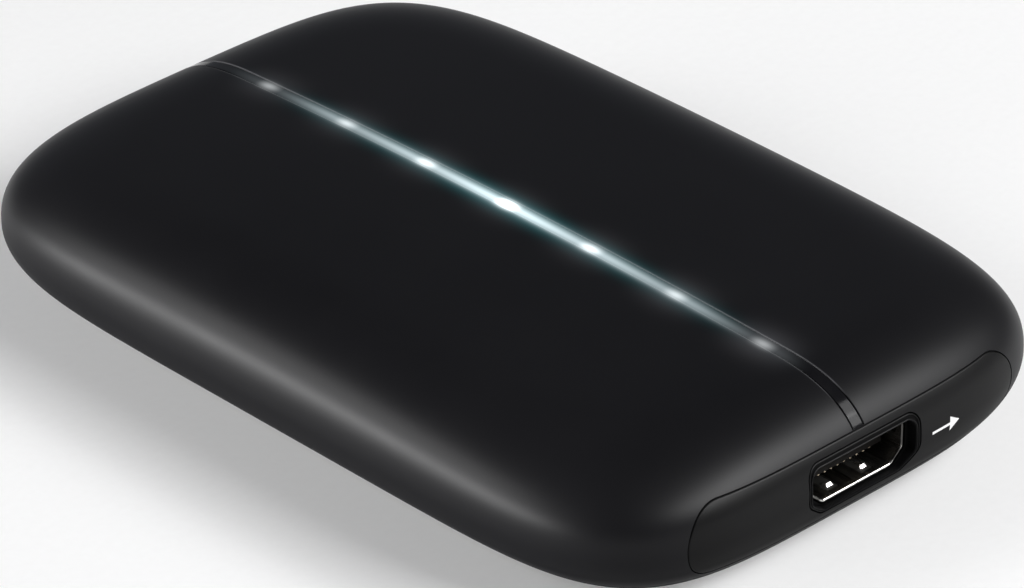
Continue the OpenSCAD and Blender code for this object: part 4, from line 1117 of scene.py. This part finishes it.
PLAIN_ROUND, SHARP_ANGLE, WELD_GAP = 0.05, 40, 2e-6
for name, finish in NODE_MATERIALS.items():
    node = NODES[name]
    node.data.materials.clear()
    node.data.materials.append(finish)
    weld = node.modifiers.new("weld", "WELD")
    weld.merge_threshold = WELD_GAP
    soft = node.modifiers.new("soft", "BEVEL")
    soft.width = EDGE_ROUND.get(name, PLAIN_ROUND) * MM
    soft.segments = 3
    soft.limit_method = "ANGLE"
    soft.angle_limit = math.radians(SHARP_ANGLE)
    soft.harden_normals = True


# The stage

def make_floor():
    """Pale paper with a faint light of its own in what the camera and mirrors see."""
    size, level, glow = 3.0, -2e-5, 0.18
    corners = [(-size, -size, level), (size, -size, level), (size, size, level), (-size, size, level)]
    mesh = bpy.data.meshes.new("floor")
    mesh.from_pydata(corners, [], [(0, 1, 2, 3)])
    made, tree, shader = material("floor_paper")
    fibre = noise(tree, scale=800.0, detail=3.0)
    mottled(tree, shader, fibre, (0.79, 0.79, 0.79), (0.81, 0.81, 0.81), 0.88, 0.92)
    set_inputs(shader, Specular_IOR_Level=0.0, Emission_Color=(1, 1, 1, 1))
    path = add_node(tree, "ShaderNodeLightPath")
    seen = maths(tree, "MAXIMUM", path.outputs["Is Camera Ray"], path.outputs["Is Glossy Ray"])
    seen = maths(tree, "MAXIMUM", seen, path.outputs["Is Transmission Ray"])
    put(shader, "Emission Strength", maths(tree, "MULTIPLY", seen, glow))
    mesh.materials.append(made)
    floor = add_object("floor", mesh)


def softbox(name, azimuth, elevation, distance, width, height, radiance, colour=(1, 1, 1)):
    """Rectangular lamp that faces the object. Azimuth 0 is +X and 90 is +Y, in degrees."""
    a, e = math.radians(azimuth), math.radians(elevation)
    way = Vector((math.cos(a) * math.cos(e), math.sin(a) * math.cos(e), math.sin(e)))
    lamp = bpy.data.lights.new(name, "AREA")
    lamp.shape, lamp.size, lamp.size_y = "RECTANGLE", width, height
    lamp.energy = radiance * math.pi * width * height
    lamp.color = colour
    holder = add_object(name, lamp)
    facing = way.to_track_quat("Z", "Y").to_matrix().to_4x4()
    holder.matrix_world = Matrix.Translation(way * distance) @ facing


def make_world(strength, colour):
    world = bpy.data.worlds.new("studio")
    world.use_nodes = True
    set_inputs(world.node_tree.nodes["Background"], Color=colour, Strength=strength)
    bpy.context.scene.world = world


def make_camera():
    """Camera at the photograph's place, fitted to the case's outline, for a frame of 1024 by 588."""
    azimuth, elevation = math.radians(-44.1412), math.radians(30.8269)
    distance, focal, shift_right, shift_up = 697.0752, 6175.2634, 0.955, -2.9325
    aim_height, frame_width = 9.5, 1024
    level = math.cos(elevation)
    back = Vector((math.sin(azimuth) * level, -math.cos(azimuth) * level, math.sin(elevation)))
    right = Vector((math.cos(azimuth), math.sin(azimuth), 0.0))
    up = back.cross(right)
    camera = bpy.data.cameras.new("camera")
    camera.sensor_fit, camera.sensor_width = "HORIZONTAL", 36.0
    camera.lens = focal / frame_width * camera.sensor_width
    camera.clip_start, camera.clip_end = 0.05, 20.0
    aim = Vector((0, 0, UNDER + aim_height))
    place = (aim + right * shift_right + up * shift_up + back * distance) * MM
    holder = add_object("camera", camera)
    holder.matrix_world = Matrix.Translation(place) @ Matrix((right, up, back)).transposed().to_4x4()
    bpy.context.scene.camera = holder


make_floor()
make_camera()
make_world(strength=0.044, colour=(1.0, 0.97, 1.08, 1))
softbox("left_back_low", 151.0, 4.6, distance=0.80, width=0.64, height=0.125, radiance=33.5)
softbox("left_back_high", 142.0, 28.0, distance=0.80, width=0.40, height=0.24, radiance=7.6)
softbox("front", -63.0, 36.0, distance=0.80, width=0.52, height=0.32, radiance=12.0)
softbox("front_right", -37.0, 42.0, distance=0.80, width=0.30, height=0.18, radiance=8.8)
BLUISH = (0.80, 0.88, 1.0)
softbox("back_low", 55.0, 14.0, distance=1.00, width=1.00, height=0.46, radiance=0.16, colour=BLUISH)
bpy.context.scene.view_settings.view_transform = "Standard"
